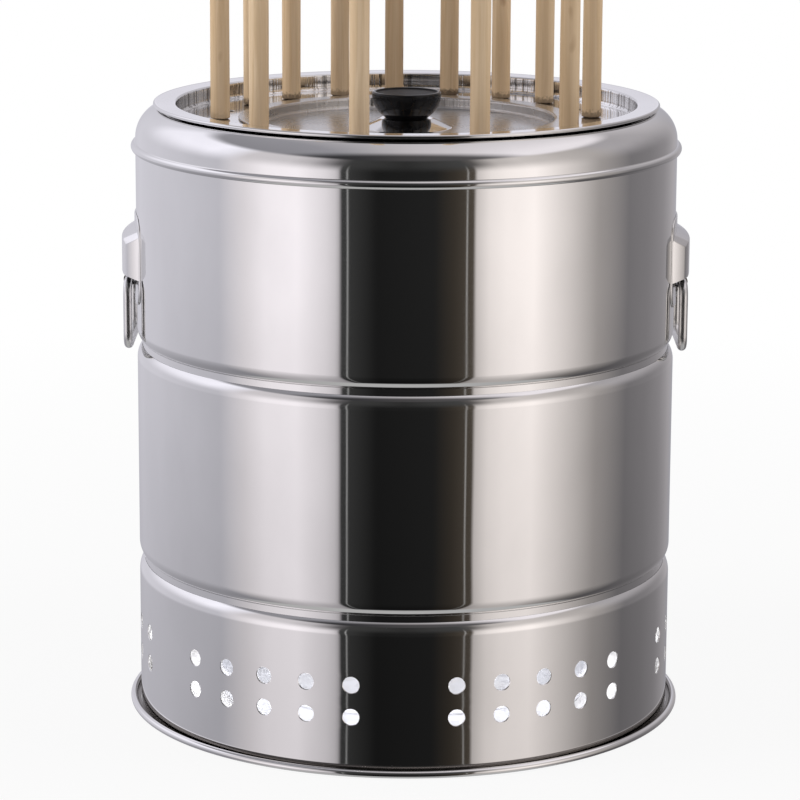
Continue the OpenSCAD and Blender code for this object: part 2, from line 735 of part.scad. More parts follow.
// Turned wooden dowel with eased ends, drilled for the needle
module skewer_handle(i) {
    ease = 1;
    top_ease = 2.5;
    r = handle_d / 2;
    color(wood) at_skewer(i) translate([0, 0, seat_gap]) difference() {
        rotate_extrude($fn = 48) polygon(concat(
            [[0, 0]],
            arc([r - ease, ease], ease, -90, 0, 4),
            arc([r - top_ease, handle_l - top_ease], top_ease, 0, 90, 4),
            [[0, handle_l]]));
        translate([0, 0, -1]) cylinder(d = needle_d + 2 * weld_gap, h = tang_l + 1 + weld_gap, $fn = 32);
    }
}

// Steel needle: a tang in the handle, a rod through the lid and a point
module skewer_needle(i) {
    tip = tip_z - plate_top;
    tang_top = seat_gap + tang_l;
    r = needle_d / 2;
    color(steel) at_skewer(i) rotate_extrude($fn = 32) polygon([
        [0, tip], [r, tip + point_l], [r, tang_top], [0, tang_top]]);
}

shoulder_collar();
upper_band();
middle_band();
vent_band();
foot_rim();
base_pan();
ear_bracket_left();
ear_bracket_right();
ring_keepers();
tray_ledges();
carry_ring_left();
carry_ring_right();
ash_pan();
basket_wall();
fire_grate();
basket_legs();
bail_ears();
basket_rivets();
basket_bail();
drip_tray();
tray_chimney();
skewer_lid();
fire_hole_cover();
cover_knob();
knob_screw();
knob_washer();
for (i = [0:len(filled_holes) - 1]) {
    skewer_handle(i);
    skewer_needle(i);
}
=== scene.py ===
"""Looks of the charcoal barrel grill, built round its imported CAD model.

The barrel, lids, trays, basket, rings and skewers are modelled again as smooth meshes in the CAD's own
places, dressed in procedural finishes, and shown in a light tent whose panels the polished steel reflects.
"""

import json
import logging
import math
import random
from collections.abc import Callable, Sequence
from dataclasses import dataclass
from enum import Enum

import bmesh
import bpy
from mathutils import Matrix, Vector

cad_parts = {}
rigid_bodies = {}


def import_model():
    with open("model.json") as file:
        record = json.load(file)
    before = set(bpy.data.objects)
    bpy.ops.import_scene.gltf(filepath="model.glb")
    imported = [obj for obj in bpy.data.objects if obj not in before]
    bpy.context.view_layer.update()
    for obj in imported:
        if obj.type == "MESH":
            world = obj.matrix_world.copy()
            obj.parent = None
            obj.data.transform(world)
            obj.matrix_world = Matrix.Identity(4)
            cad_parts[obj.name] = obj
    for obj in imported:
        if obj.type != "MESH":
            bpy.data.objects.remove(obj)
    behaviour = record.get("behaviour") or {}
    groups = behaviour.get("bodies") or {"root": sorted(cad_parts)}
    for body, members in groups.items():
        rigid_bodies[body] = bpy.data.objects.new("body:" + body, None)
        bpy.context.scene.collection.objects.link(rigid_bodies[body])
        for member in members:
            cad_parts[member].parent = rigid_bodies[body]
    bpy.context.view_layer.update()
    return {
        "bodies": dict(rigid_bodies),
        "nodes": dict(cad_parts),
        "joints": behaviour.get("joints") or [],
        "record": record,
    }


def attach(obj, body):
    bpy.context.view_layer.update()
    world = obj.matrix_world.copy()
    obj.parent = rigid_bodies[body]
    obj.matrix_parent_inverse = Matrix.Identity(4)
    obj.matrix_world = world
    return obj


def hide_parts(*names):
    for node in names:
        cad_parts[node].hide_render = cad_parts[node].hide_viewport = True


LOG = logging.getLogger("barrel_grill")

# Metres
MM = 0.001
CAD_WELD = 1e-6

# Millimetres
TOUCHING = 0.002
SLIVER = 0.0005
WELD = 0.005
HAIR = 0.1

# Degrees
SOFT_EDGE = 32
FOLDED_EDGE = 40
CAD_FLAT = 0.5

# Steps of round forms
ROUND_STEPS = 300
ARC_STEPS = 12
EASE_STEPS = 2
WIRE_SIDES = 32

BLACK = (0.0, 0.0, 0.0)
WHITE = (1.0, 1.0, 1.0)

Point2 = tuple[float, float]
Profile = list[Point2]
Triple = tuple[float, float, float]
Colour = Triple
Piece = bpy.types.Object
Material = bpy.types.Material
Socket = bpy.types.NodeSocket
Source = Socket | float | Sequence[float]


class Slot(Enum):
    """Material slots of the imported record."""

    POLISHED = "polished_steel"
    DARKENED = "heat_darkened_steel"
    PLAIN = "plain_steel"
    KNOB = "black_knob"
    WOOD = "handle_wood"


# Outlines, in millimetres


def arc(centre: Point2, radius: float, start: float, end: float, steps: int = ARC_STEPS) -> Profile:
    """Points along an arc.

    Args:
        centre: Centre of the arc.
        radius: Radius of the arc.
        start: First angle, in degrees.
        end: Last angle, in degrees.
        steps: Number of straight steps.

    Returns:
        The points, both ends included.
    """
    angles = [math.radians(start + (end - start) * i / steps) for i in range(steps + 1)]
    return [(centre[0] + radius * math.cos(a), centre[1] + radius * math.sin(a)) for a in angles]


def between(here: Point2, there: Point2, share: float) -> Point2:
    """Point on the straight from one point to another."""
    return here[0] + (there[0] - here[0]) * share, here[1] + (there[1] - here[1]) * share


def braced(outline: Profile, closed: bool = True, margin: float = 0.4) -> Profile:
    """Adds a point near both ends of each long straight, so that mirror finishes stay true along it.

    Args:
        outline: Corner points.
        closed: Whether the last point joins the first.
        margin: Distance of the added points from the ends.

    Returns:
        The outline with the added points.
    """
    made: Profile = []
    count = len(outline)
    for i, here in enumerate(outline):
        made.append(here)
        if not closed and i == count - 1:
            break
        there = outline[(i + 1) % count]
        length = math.dist(here, there)
        if length > 5 * margin:
            made += [between(here, there, share) for share in (margin / length, 1 - margin / length)]
    return made


def divided(outline: Profile, step: float) -> Profile:
    """Splits the straights of a closed outline into short steps, so that it can be bent.

    Args:
        outline: Corner points.
        step: Longest step.

    Returns:
        The outline with the added points.
    """
    made: Profile = []
    for here, there in zip(outline, outline[1:] + outline[:1]):
        count = math.ceil(math.dist(here, there) / step)
        made += [between(here, there, i / count) for i in range(count)]
    return made


def rounded_rectangle(half_w: float, half_h: float, radius: float, steps: int) -> Profile:
    """Outline of a round-cornered rectangle about the origin.

    Args:
        half_w: Half of its width.
        half_h: Half of its height.
        radius: Radius of the corners.
        steps: Number of straight steps in a corner.

    Returns:
        The points, anticlockwise.
    """
    w, h = half_w - radius, half_h - radius
    made: Profile = []
    for x, y, start in ((w, h, 0), (-w, h, 90), (-w, -h, 180), (w, -h, 270)):
        made += arc((x, y), radius, start, start + 90, steps)
    return made


def around(radius: float, degrees: float, height: float) -> Vector:
    """Point at a radius and height, at an angle from the front (-Y) towards +X."""
    turn = math.radians(degrees)
    return Vector((radius * math.sin(turn), -radius * math.cos(turn), height))


# Meshes


def filled_mesh(name: str, bm: bmesh.types.BMesh) -> bpy.types.Mesh:
    """Makes a mesh of a bmesh, which is freed.

    Args:
        name: Name of the mesh.
        bm: The bmesh.

    Returns:
        The mesh.
    """
    mesh = bpy.data.meshes.new(name)
    bm.to_mesh(mesh)
    bm.free()
    return mesh


def linked(name: str, data: bpy.types.ID) -> Piece:
    """Makes an object and links it to the scene.

    Args:
        name: Name of the object.
        data: Its mesh, lamp or camera.

    Returns:
        The object.
    """
    made = bpy.data.objects.new(name, data)
    bpy.context.scene.collection.objects.link(made)
    return made


def smoothed(mesh: bpy.types.Mesh, sharp: float) -> None:
    """Shades a mesh smooth up to an angle in degrees."""
    mesh.shade_smooth()
    mesh.set_sharp_from_angle(angle=math.radians(sharp))


def flattened(bm: bmesh.types.BMesh, degrees: float) -> None:
    """Joins faces that meet at less than an angle."""
    bmesh.ops.dissolve_limit(bm, angle_limit=math.radians(degrees), verts=bm.verts, edges=bm.edges)


def mark_where(made: Piece, name: str, value: Callable[[float, float], float]) -> None:
    """Gives a piece an attribute that its finish reads, by radius and height.

    Args:
        made: The piece.
        name: Name of the attribute.
        value: Gives the value for a radius and a height in millimetres.
    """
    marks = made.data.attributes.new(name, "FLOAT", "POINT")
    for vertex, mark in zip(made.data.vertices, marks.data):
        mark.value = value(math.hypot(vertex.co.x, vertex.co.y) / MM, vertex.co.z / MM)


def mark_all(made: Piece, name: str, value: float) -> None:
    """Gives a whole piece one value of an attribute that its finish reads."""
    marks = made.data.attributes.new(name, "FLOAT", "POINT")
    marks.data.foreach_set("value", [value] * len(made.data.vertices))


def mark_drawn_wall(made: Piece, radius: float, low: float, high: float) -> None:
    """Marks the steep wall of a dished piece as drawn.

    Args:
        made: The piece.
        radius: Radius of the wall.
        low: Height of the wall's foot.
        high: Height of its upper edge.
    """
    inside, outside, clear = 1, 2, 0.5
    mark_where(made, "drawn", lambda r, z: float(
        radius - inside < r < radius + outside and low + clear < z < high - clear))


class Draft:
    """A mesh in millimetres while its faces are laid out."""

    def __init__(self) -> None:
        """Starts an empty mesh."""
        self.bm = bmesh.new()

    def grid(self, rows: Sequence[Sequence[Vector]], close_rows: bool = False,
             close_columns: bool = False) -> None:
        """Lays quads between rows of points.

        Args:
            rows: Rows of equal length.
            close_rows: Whether the last point of a row joins its first.
            close_columns: Whether the last row joins the first.
        """
        verts = [[self.bm.verts.new(p) for p in row] for row in rows]
        if close_columns:
            verts.append(verts[0])
        for low, high in zip(verts, verts[1:]):
            pairs = list(zip(low, high))
            if close_rows:
                pairs.append(pairs[0])
            for (a, b), (c, d) in zip(pairs, pairs[1:]):
                self.bm.faces.new((a, c, d, b))

    def turned(self, profile: Profile, start: float = 0, end: float = 360, closed: bool = True) -> None:
        """Turns a profile of radii and heights about the barrel's axis.

        Args:
            profile: Points of radius and height.
            start: First angle from the front, in degrees.
            end: Last angle, in degrees.
            closed: Whether the profile is a closed loop.
        """
        steps = max(1, round((end - start) * ROUND_STEPS / 360))
        angles = [start + (end - start) * i / steps for i in range(steps + 1)]
        self.grid([[around(r, a, z) for r, z in profile] for a in angles], close_rows=closed)

    def cap(self, loop: Sequence[Vector]) -> None:
        """Closes a loop of points with one flat face."""
        self.bm.faces.new([self.bm.verts.new(p) for p in loop])

    def merge(self) -> "Draft":
        """Joins points that meet and turns the faces outwards.

        Returns:
            This draft.
        """
        bmesh.ops.remove_doubles(self.bm, verts=self.bm.verts, dist=TOUCHING)
        bmesh.ops.dissolve_degenerate(self.bm, edges=self.bm.edges, dist=SLIVER)
        bmesh.ops.recalc_face_normals(self.bm, faces=self.bm.faces)
        return self

    def to_object(self, name: str, material: Material | None = None, sharp: float = SOFT_EDGE) -> Piece:
        """Makes the draft an object in metres, smooth up to an angle.

        Args:
            name: Name of the object.
            material: Its finish.
            sharp: Angle over which an edge is sharp, in degrees.

        Returns:
            The object, at the origin.
        """
        mesh = filled_mesh(name, self.bm)
        mesh.transform(Matrix.Scale(MM, 4))
        smoothed(mesh, sharp)
        if material:
            mesh.materials.append(material)
        return linked(name, mesh)


def plain_mesh(made: Piece, sharp: float = SOFT_EDGE) -> Piece:
    """Replaces an object's mesh and modifiers by the evaluated mesh.

    Args:
        made: Object with live modifiers.
        sharp: Angle over which an edge is sharp, in degrees.

    Returns:
        The same object, without modifiers.
    """
    graph = bpy.context.evaluated_depsgraph_get()
    mesh = bpy.data.meshes.new_from_object(made.evaluated_get(graph))
    made.modifiers.clear()
    old = made.data
    made.data = mesh
    mesh.name = made.name
    bpy.data.meshes.remove(old)
    smoothed(mesh, sharp)
    return made


def path_object(name: str, points: Sequence[Vector], closed: bool) -> Piece:
    """Object whose edges follow a path.

    Args:
        name: Name of the object.
        points: The path's points, in millimetres.
        closed: Whether the path is a loop.

    Returns:
        The object, in metres.
    """
    edges = [(i, i + 1) for i in range(len(points) - 1)]
    if closed:
        edges.append((len(points) - 1, 0))
    mesh = bpy.data.meshes.new(name)
    mesh.from_pydata([p * MM for p in points], edges, [])
    return linked(name, mesh)


@dataclass(frozen=True)
class HoledCell:
    """A rectangular cell of sheet with one hole, laid out flat as u across and v up."""

    width: float
    height: float
    columns: int
    rows: int
    hole_width: float
    hole_height: float
    edge: float = 0.2
    rings: tuple[float, ...] = (0.0, 0.3, 0.6, 0.85, 1.0)

    def _border(self) -> Profile:
        """Lays out the cell's border.

        Returns:
            The points, anticlockwise from the lower left corner.
        """
        w, h = self.width / 2, self.height / 2
        across = [-w + self.width * i / self.columns for i in range(self.columns)]
        up = [-h + self.height * i / self.rows for i in range(self.rows)]
        return ([(u, -h) for u in across] + [(w, v) for v in up]
                + [(-u, h) for u in across] + [(-w, -v) for v in up])

    def _hole(self, grow: float) -> Profile:
        """Lays out the hole's edge.

        Args:
            grow: Margin round the hole.

        Returns:
            The points, one for each point of the border.
        """
        r = self.hole_width / 2 + grow
        lift = self.hole_height / 2 - self.hole_width / 2
        spread = 90 if lift > 0 else 45
        below = [-90 - spread + 2 * spread * i / self.columns for i in range(self.columns)]
        side = [i / self.rows for i in range(self.rows)]

        def on_arc(degrees: float, height: float) -> Point2:
            """Point of the hole's arc about a height."""
            return r * math.cos(math.radians(degrees)), height + r * math.sin(math.radians(degrees))

        made = [on_arc(a, -lift) for a in below]
        if lift > 0:
            made += [(r, -lift + 2 * lift * s) for s in side]
        else:
            made += [on_arc(-45 + 90 * s, 0) for s in side]
        return made + [(-u, -v) for u, v in made]

    def lay(self, draft: Draft, bend: Callable[[float, float, float], Vector], sheet: float) -> None:
        """Lays both faces of the cell and the wall of its hole.

        Args:
            draft: Mesh that takes the faces.
            bend: Gives the point for u, v and the depth below the outer face.
            sheet: Thickness of the sheet.
        """
        border, rim = self._border(), self._hole(self.edge)
        rows: list[list[Vector]] = []

        def face(depth: float, shares: Sequence[float]) -> None:
            """Adds the rows of one face between the border and the hole."""
            for share in shares:
                rows.append([bend(*between(b, r, share), depth) for b, r in zip(border, rim)])

        face(0, self.rings)
        bore = self._hole(0)
        rows.append([bend(u, v, self.edge) for u, v in bore])
        rows.append([bend(u, v, sheet - self.edge) for u, v in bore])
        face(sheet, self.rings[::-1])
        draft.grid(rows, close_rows=True)


# Nodes


class Wiring:
    """Adds and links the nodes of one tree."""

    def __init__(self, tree: bpy.types.NodeTree) -> None:
        """Keeps the tree."""
        self.tree = tree

    def give(self, target: Socket, source: Source) -> None:
        """Links an input or sets its value.

        Args:
            target: The input.
            source: A socket to link or a value to set.
        """
        if isinstance(source, Socket):
            self.tree.links.new(source, target)
        else:
            target.default_value = source

    def fill(self, made: bpy.types.Node, *sources: Source, **named: Source) -> None:
        """Links or sets inputs of a node.

        Args:
            made: The node.
            *sources: A socket or a value for each of the first inputs.
            **named: A socket or a value by an input's name, with _ for spaces.
        """
        for target, source in zip(made.inputs, sources):
            self.give(target, source)
        for name, source in named.items():
            self.give(made.inputs[name.replace("_", " ")], source)

    def node(self, kind: str, *sources: Source, **named: Source) -> bpy.types.Node:
        """Adds a node with its inputs filled.

        Args:
            kind: Type of the node.
            *sources: A socket or a value for each of the first inputs.
            **named: A socket or a value by an input's name, with _ for spaces.

        Returns:
            The node.
        """
        made = self.tree.nodes.new(kind)
        self.fill(made, *sources, **named)
        return made

    def maths(self, operation: str, *parts: Socket | float) -> Socket:
        """Adds a sum on sockets and numbers.

        Args:
            operation: Name of the sum.
            *parts: Its sockets and numbers.

        Returns:
            The result.
        """
        made = self.node("ShaderNodeMath")
        made.operation = operation
        self.fill(made, *parts)
        return made.outputs[0]

    def span(self, source: Socket, low: float, high: float, to_low: float = 0, to_high: float = 1,
             easing: str = "LINEAR") -> Socket:
        """Maps a range of values to another, held at its ends.

        Args:
            source: The value.
            low: Lower end of the range.
            high: Upper end of the range.
            to_low: Result at the lower end.
            to_high: Result at the upper end.
            easing: How it runs in between.

        Returns:
            The mapped value.
        """
        made = self.node("ShaderNodeMapRange", source, low, high, to_low, to_high)
        made.interpolation_type = easing
        return made.outputs["Result"]

    def mix(self, share: Socket, first: Socket | Colour, second: Socket | Colour,
            kind: str = "MIX") -> Socket:
        """Mixes two colours.

        Args:
            share: Share of the second colour.
            first: Colour at 0.
            second: Colour at 1.
            kind: Way of mixing.

        Returns:
            The mixed colour.
        """
        made = self.node("ShaderNodeMix")
        made.data_type = "RGBA"
        made.blend_type = kind
        a, b = (colour if isinstance(colour, Socket) else (*colour, 1) for colour in (first, second))
        self.fill(made, Factor=share, A=a, B=b)
        return made.outputs["Result"]

    def length(self, vector: Socket) -> Socket:
        """Measures a vector.

        Args:
            vector: The vector.

        Returns:
            Its length.
        """
        made = self.node("ShaderNodeVectorMath", vector)
        made.operation = "LENGTH"
        return made.outputs["Value"]


class NodeTree(Wiring):
    """A Geometry Nodes tree with named inputs, made in the script."""

    def __init__(self, name: str) -> None:
        """Starts a tree that takes and gives geometry.

        Args:
            name: Name of the tree.
        """
        super().__init__(bpy.data.node_groups.new(name, "GeometryNodeTree"))
        face = self.tree.interface
        face.new_socket("Geometry", in_out="INPUT", socket_type="NodeSocketGeometry")
        face.new_socket("Geometry", in_out="OUTPUT", socket_type="NodeSocketGeometry")
        self.inputs = self.tree.nodes.new("NodeGroupInput")
        self.outputs = self.tree.nodes.new("NodeGroupOutput")
        self.identifiers: dict[str, str] = {}

    def number(self, name: str, whole: bool = False) -> Socket:
        """Adds a named number to the tree's inputs and returns its socket inside the tree."""
        return self._input(name, "NodeSocketInt" if whole else "NodeSocketFloat")

    def finish_input(self) -> Socket:
        """Adds the material to the tree's inputs and returns its socket inside the tree."""
        return self._input("Finish", "NodeSocketMaterial")

    def _input(self, name: str, kind: str) -> Socket:
        """Adds an input to the tree.

        Args:
            name: Name of the input.
            kind: Type of its socket.

        Returns:
            Its socket inside the tree.
        """
        made = self.tree.interface.new_socket(name, in_out="INPUT", socket_type=kind)
        self.identifiers[name] = made.identifier
        return self.inputs.outputs[name]

    def end(self, geometry: Socket) -> None:
        """Ends the tree in the finish and its output."""
        dressed = self.node("GeometryNodeSetMaterial", Geometry=geometry, Material=self.finish_input())
        self.give(self.outputs.inputs["Geometry"], dressed.outputs["Geometry"])

    def run(self, made: Piece, finish: Material, **values: float) -> Piece:
        """Runs the tree on an object and keeps the result as a plain mesh.

        Args:
            made: Object that the tree works on.
            finish: Material of the result.
            **values: Values of the named inputs.

        Returns:
            The same object.
        """
        modifier = made.modifiers.new(self.tree.name, "NODES")
        modifier.node_group = self.tree
        modifier[self.identifiers["Finish"]] = finish
        for name, value in values.items():
            modifier[self.identifiers[name]] = value
        return plain_mesh(made)


def ring_repeat() -> NodeTree:
    """Tree that repeats one sector of a piece round the barrel's axis.

    Returns:
        The tree.
    """
    made = NodeTree("ring_repeat")
    count = made.number("Count", whole=True)
    step = made.number("Step")
    start = made.number("Start")
    weld = made.number("Weld")
    points = made.node("GeometryNodePoints", Count=count)
    index = made.node("GeometryNodeInputIndex")
    turn = made.maths("MULTIPLY_ADD", index.outputs[0], step, start)
    rotation = made.node("FunctionNodeAxisAngleToRotation", Axis=(0, 0, 1), Angle=turn)
    copies = made.node("GeometryNodeInstanceOnPoints", Points=points.outputs[0],
                       Instance=made.inputs.outputs["Geometry"], Rotation=rotation.outputs[0])
    real = made.node("GeometryNodeRealizeInstances", Geometry=copies.outputs[0])
    welded = made.node("GeometryNodeMergeByDistance", Geometry=real.outputs[0], Distance=weld)
    made.end(welded.outputs[0])
    return made


def drawn_wire() -> NodeTree:
    """Tree that draws a round wire along the edges of a path.

    Returns:
        The tree.
    """
    made = NodeTree("drawn_wire")
    radius = made.number("Radius")
    sides = made.number("Sides", whole=True)
    path = made.node("GeometryNodeMeshToCurve", Mesh=made.inputs.outputs["Geometry"])
    ring = made.node("GeometryNodeCurvePrimitiveCircle", Resolution=sides, Radius=radius)
    wire = made.node("GeometryNodeCurveToMesh", Curve=path.outputs[0], Profile_Curve=ring.outputs[0],
                     Fill_Caps=True)
    real = made.node("GeometryNodeRealizeInstances", Geometry=wire.outputs[0])
    made.end(real.outputs[0])
    return made


# Finishes


class Shader(Wiring):
    """Adds and links the nodes of one material."""

    def __init__(self, name: str) -> None:
        """Starts a material with a Principled shader.

        Args:
            name: Name of the material.
        """
        self.material = bpy.data.materials.new(name)
        self.material.use_nodes = True
        super().__init__(self.material.node_tree)
        self.principled = self.tree.nodes["Principled BSDF"]
        self.place = self.node("ShaderNodeTexCoord").outputs["Object"]

    def constant(self, **values: float | tuple[float, ...]) -> None:
        """Sets values of the shader's own sockets, by name with _ for spaces."""
        self.fill(self.principled, **values)

    def feed(self, name: str, source: Socket) -> None:
        """Links a socket to one of the shader's inputs."""
        self.give(self.principled.inputs[name], source)

    def scaled(self, x: float, y: float, z: float) -> Socket:
        """Object coordinates, scaled along each axis."""
        return self.node("ShaderNodeMapping", self.place, Scale=(x, y, z)).outputs["Vector"]

    def noise(self, where: Socket, scale: float, detail: float = 2, distortion: float = 0) -> Socket:
        """Noise between 0 and 1.

        Args:
            where: Coordinates.
            scale: Scale of the noise.
            detail: Number of finer layers.
            distortion: Strength of the distortion.

        Returns:
            The noise's value.
        """
        made = self.node("ShaderNodeTexNoise", where, Scale=scale, Detail=detail, Distortion=distortion)
        return made.outputs["Fac"]

    def rings(self, scale: float) -> Socket:
        """Noise between 0 and 1 that runs in rings about the barrel's axis.

        Args:
            scale: Scale of the noise.

        Returns:
            The noise's value.
        """
        made = self.node("ShaderNodeTexNoise")
        made.noise_dimensions = "1D"
        self.fill(made, Scale=scale, W=self.length(self.scaled(1, 1, 0)))
        return made.outputs["Fac"]

    def draw_marks(self, scale: float) -> Socket:
        """Upright draw marks between 0 and 1, where a piece is marked as drawn."""
        return self.maths("MULTIPLY", self.noise(self.scaled(1, 1, 0.02), scale), self.attribute("drawn"))

    def bump(self, height: Socket, depth: float, before: Socket | None = None) -> Socket:
        """Turns a height into a normal.

        Args:
            height: Height, 0 to 1.
            depth: Height in metres at 1.
            before: Normal that this one adds to.

        Returns:
            The new normal.
        """
        made = self.node("ShaderNodeBump", Strength=1, Distance=depth, Height=height)
        if before:
            self.fill(made, Normal=before)
        return made.outputs["Normal"]

    def attribute(self, name: str) -> Socket:
        """Reads a mesh attribute.

        Args:
            name: Name of the attribute.

        Returns:
            Its value.
        """
        made = self.node("ShaderNodeAttribute")
        made.attribute_name = name
        return made.outputs["Fac"]


@dataclass(frozen=True)
class MirrorSteel:
    """Mirror-polished stainless sheet: faint polishing lines, smudges, a slightly wavy surface, and painted
    shade in marked crevices and as dark streaks on drawn walls.
    """

    name: str = "mirror_steel"
    clean: Colour = (0.88, 0.875, 0.87)
    dull: Colour = (0.83, 0.825, 0.82)
    # Dark colour of painted shade: in crevices, and as streaked reflection on drawn walls
    painted_shade: Colour = (0.12, 0.105, 0.09)
    waviness: float = 0.00015
    ripples: float = 0.0002
    satin: float = 0.22
    inside_metal: float = 0.35
    inside_rough: float = 0.4

    def build(self) -> Material:
        """Makes the material.

        Returns:
            The material.
        """
        shader = Shader(self.name)
        inside = shader.attribute("inside")
        shader.feed("Metallic", shader.span(inside, 0, 1, 1, self.inside_metal))
        smudges = shader.noise(shader.scaled(1, 1, 0.6), 24, 4)
        polished = shader.mix(shader.span(smudges, 0.35, 0.7), self.clean, self.dull)
        # Painted reflection: dark upright streaks on drawn walls stand in for their streaked reflection
        drawn = shader.draw_marks(520)
        marked = shader.mix(shader.span(drawn, 0.52, 0.66, 0, 0.8), polished, self.painted_shade)
        # Painted shade where a piece is marked, such as the crevice at the barrel's foot
        shader.feed("Base Color", shader.mix(shader.attribute("painted_shade"), marked, self.painted_shade))
        lines = shader.span(shader.noise(shader.scaled(1.5, 1.5, 900), 3), 0.3, 0.7, 0, 0.02)
        polish = shader.maths("ADD", shader.span(smudges, 0.4, 0.75, 0.025, 0.05), lines)
        satin = shader.maths("MULTIPLY", shader.attribute("satin"), self.satin)
        dulled = shader.maths("ADD", satin, shader.maths("MULTIPLY", inside, self.inside_rough))
        shader.feed("Roughness", shader.maths("ADD", polish, dulled))
        waves = shader.bump(shader.noise(shader.scaled(1, 1, 0.7), 16, 1), self.waviness)
        shader.feed("Normal", shader.bump(drawn, self.ripples, waves))
        return shader.material


@dataclass(frozen=True)
class SpunSteel:
    """Spun stainless sheet: grooves that draw reflections out, ripples on its walls, a bright cone."""

    name: str = "spun_steel"
    clean: Colour = (0.66, 0.655, 0.65)
    dull: Colour = (0.52, 0.515, 0.51)
    bright: Colour = (0.88, 0.875, 0.87)
    polish: float = 0.19
    stretch: float = 0.5
    grooves: float = 0.000012
    ripples: float = 0.0003

    def build(self) -> Material:
        """Makes the material.

        Returns:
            The material.
        """
        shader = Shader(self.name)
        shader.constant(Metallic=1.0, Anisotropic=self.stretch, Anisotropic_Rotation=0.25)
        tangent = shader.node("ShaderNodeTangent")
        tangent.direction_type = "RADIAL"
        tangent.axis = "Z"
        shader.feed("Tangent", tangent.outputs["Tangent"])
        smudges = shader.span(shader.noise(shader.place, 30, 4), 0.35, 0.7, 0.2, 1)
        turned = shader.rings(1100)
        worn = shader.maths("MULTIPLY", smudges, shader.span(turned, 0.3, 0.7, 0.4, 1))
        polished = shader.attribute("polished")
        sheet = shader.mix(worn, self.clean, self.dull)
        shader.feed("Base Color", shader.mix(polished, sheet, self.bright))
        polish = shader.maths("MULTIPLY", polished, self.polish)
        shader.feed("Roughness", shader.maths("SUBTRACT", shader.span(worn, 0, 1, 0.22, 0.34), polish))
        lines = shader.bump(turned, self.grooves)
        shader.feed("Normal", shader.bump(shader.draw_marks(620), self.ripples, lines))
        return shader.material


@dataclass(frozen=True)
class ZincSheet:
    """Bright zinc-coated sheet with its spangle and a little dust."""

    name: str = "zinc_sheet"
    grey: Colour = (0.66, 0.67, 0.71)
    pale: Colour = (0.74, 0.75, 0.79)
    dust: Colour = (0.6, 0.59, 0.58)
    grit: float = 0.00005

    def build(self) -> Material:
        """Makes the material.

        Returns:
            The material.
        """
        shader = Shader(self.name)
        shader.constant(Metallic=0.3)
        cells = shader.node("ShaderNodeTexVoronoi", shader.place, Scale=160)
        spangle = shader.span(cells.outputs["Color"], 0.2, 0.8)
        dust = shader.noise(shader.place, 60, 5)
        zinc = shader.mix(spangle, self.grey, self.pale)
        shader.feed("Base Color", shader.mix(shader.span(dust, 0.5, 0.75, 0, 0.5), zinc, self.dust))
        shader.feed("Roughness", shader.span(spangle, 0, 1, 0.42, 0.58))
        shader.feed("Normal", shader.bump(dust, self.grit))
        return shader.material


@dataclass(frozen=True)
class DarkSteel:
    """Dull sheet steel, browned and blued by the fire."""

    name: str = "fire_darkened_steel"
    grey: Colour = (0.36, 0.33, 0.3)
    brown: Colour = (0.24, 0.19, 0.15)
    soot: Colour = (0.06, 0.056, 0.053)
    scale: float = 0.00006

    def build(self) -> Material:
        """Makes the material.

        Returns:
            The material.
        """
        shader = Shader(self.name)
        shader.constant(Metallic=0.9)
        stains = shader.noise(shader.place, 30, 5, 0.6)
        warm = shader.mix(shader.span(stains, 0.35, 0.65), self.grey, self.brown)
        soot = shader.noise(shader.scaled(1, 1, 0.5), 55, 6)
        shader.feed("Base Color", shader.mix(shader.span(soot, 0.5, 0.72, 0, 0.8), warm, self.soot))
        shader.feed("Roughness", shader.span(soot, 0.3, 0.7, 0.32, 0.62))
        shader.feed("Normal", shader.bump(shader.noise(shader.place, 420, 3), self.scale))
        return shader.material


@dataclass(frozen=True)
class DrawnSteel:
    """Plain drawn wire and rod, with lines along its length and a few dull spots."""

    name: str = "drawn_steel"
    clean: Colour = (0.72, 0.715, 0.71)
    dull: Colour = (0.58, 0.57, 0.56)
    lines: float = 0.000012

    def build(self) -> Material:
        """Makes the material.

        Returns:
            The material.
        """
        shader = Shader(self.name)
        shader.constant(Metallic=1.0)
        spots = shader.noise(shader.place, 90, 4)
        shader.feed("Base Color", shader.mix(shader.span(spots, 0.4, 0.7), self.clean, self.dull))
        shader.feed("Roughness", shader.span(spots, 0.3, 0.7, 0.16, 0.32))
        shader.feed("Normal", shader.bump(shader.noise(shader.scaled(1, 1, 0.06), 1600), self.lines))
        return shader.material


@dataclass(frozen=True)
class BlackMoulding:
    """Glossy black moulded plastic with faint flow marks, hairline scratches and a worn, duller top."""

    name: str = "black_moulding"
    black: Colour = (0.004, 0.004, 0.005)
    flow: Colour = (0.011, 0.011, 0.012)
    matte: float = 0.4
    dimples: float = 0.00002

    def build(self) -> Material:
        """Makes the material.

        Returns:
            The material.
        """
        shader = Shader(self.name)
        shader.constant(Specular_IOR_Level=0.25)
        shader.feed("Base Color", shader.mix(shader.noise(shader.place, 120, 3, 1.2), self.black, self.flow))
        scratches = shader.span(shader.noise(shader.scaled(40, 900, 400), 2, 3), 0.45, 0.8, 0.09, 0.2)
        matte = shader.maths("MULTIPLY", shader.attribute("matte"), self.matte)
        shader.feed("Roughness", shader.maths("ADD", scratches, matte))
        shader.feed("Normal", shader.bump(shader.noise(shader.place, 240), self.dimples))
        return shader.material


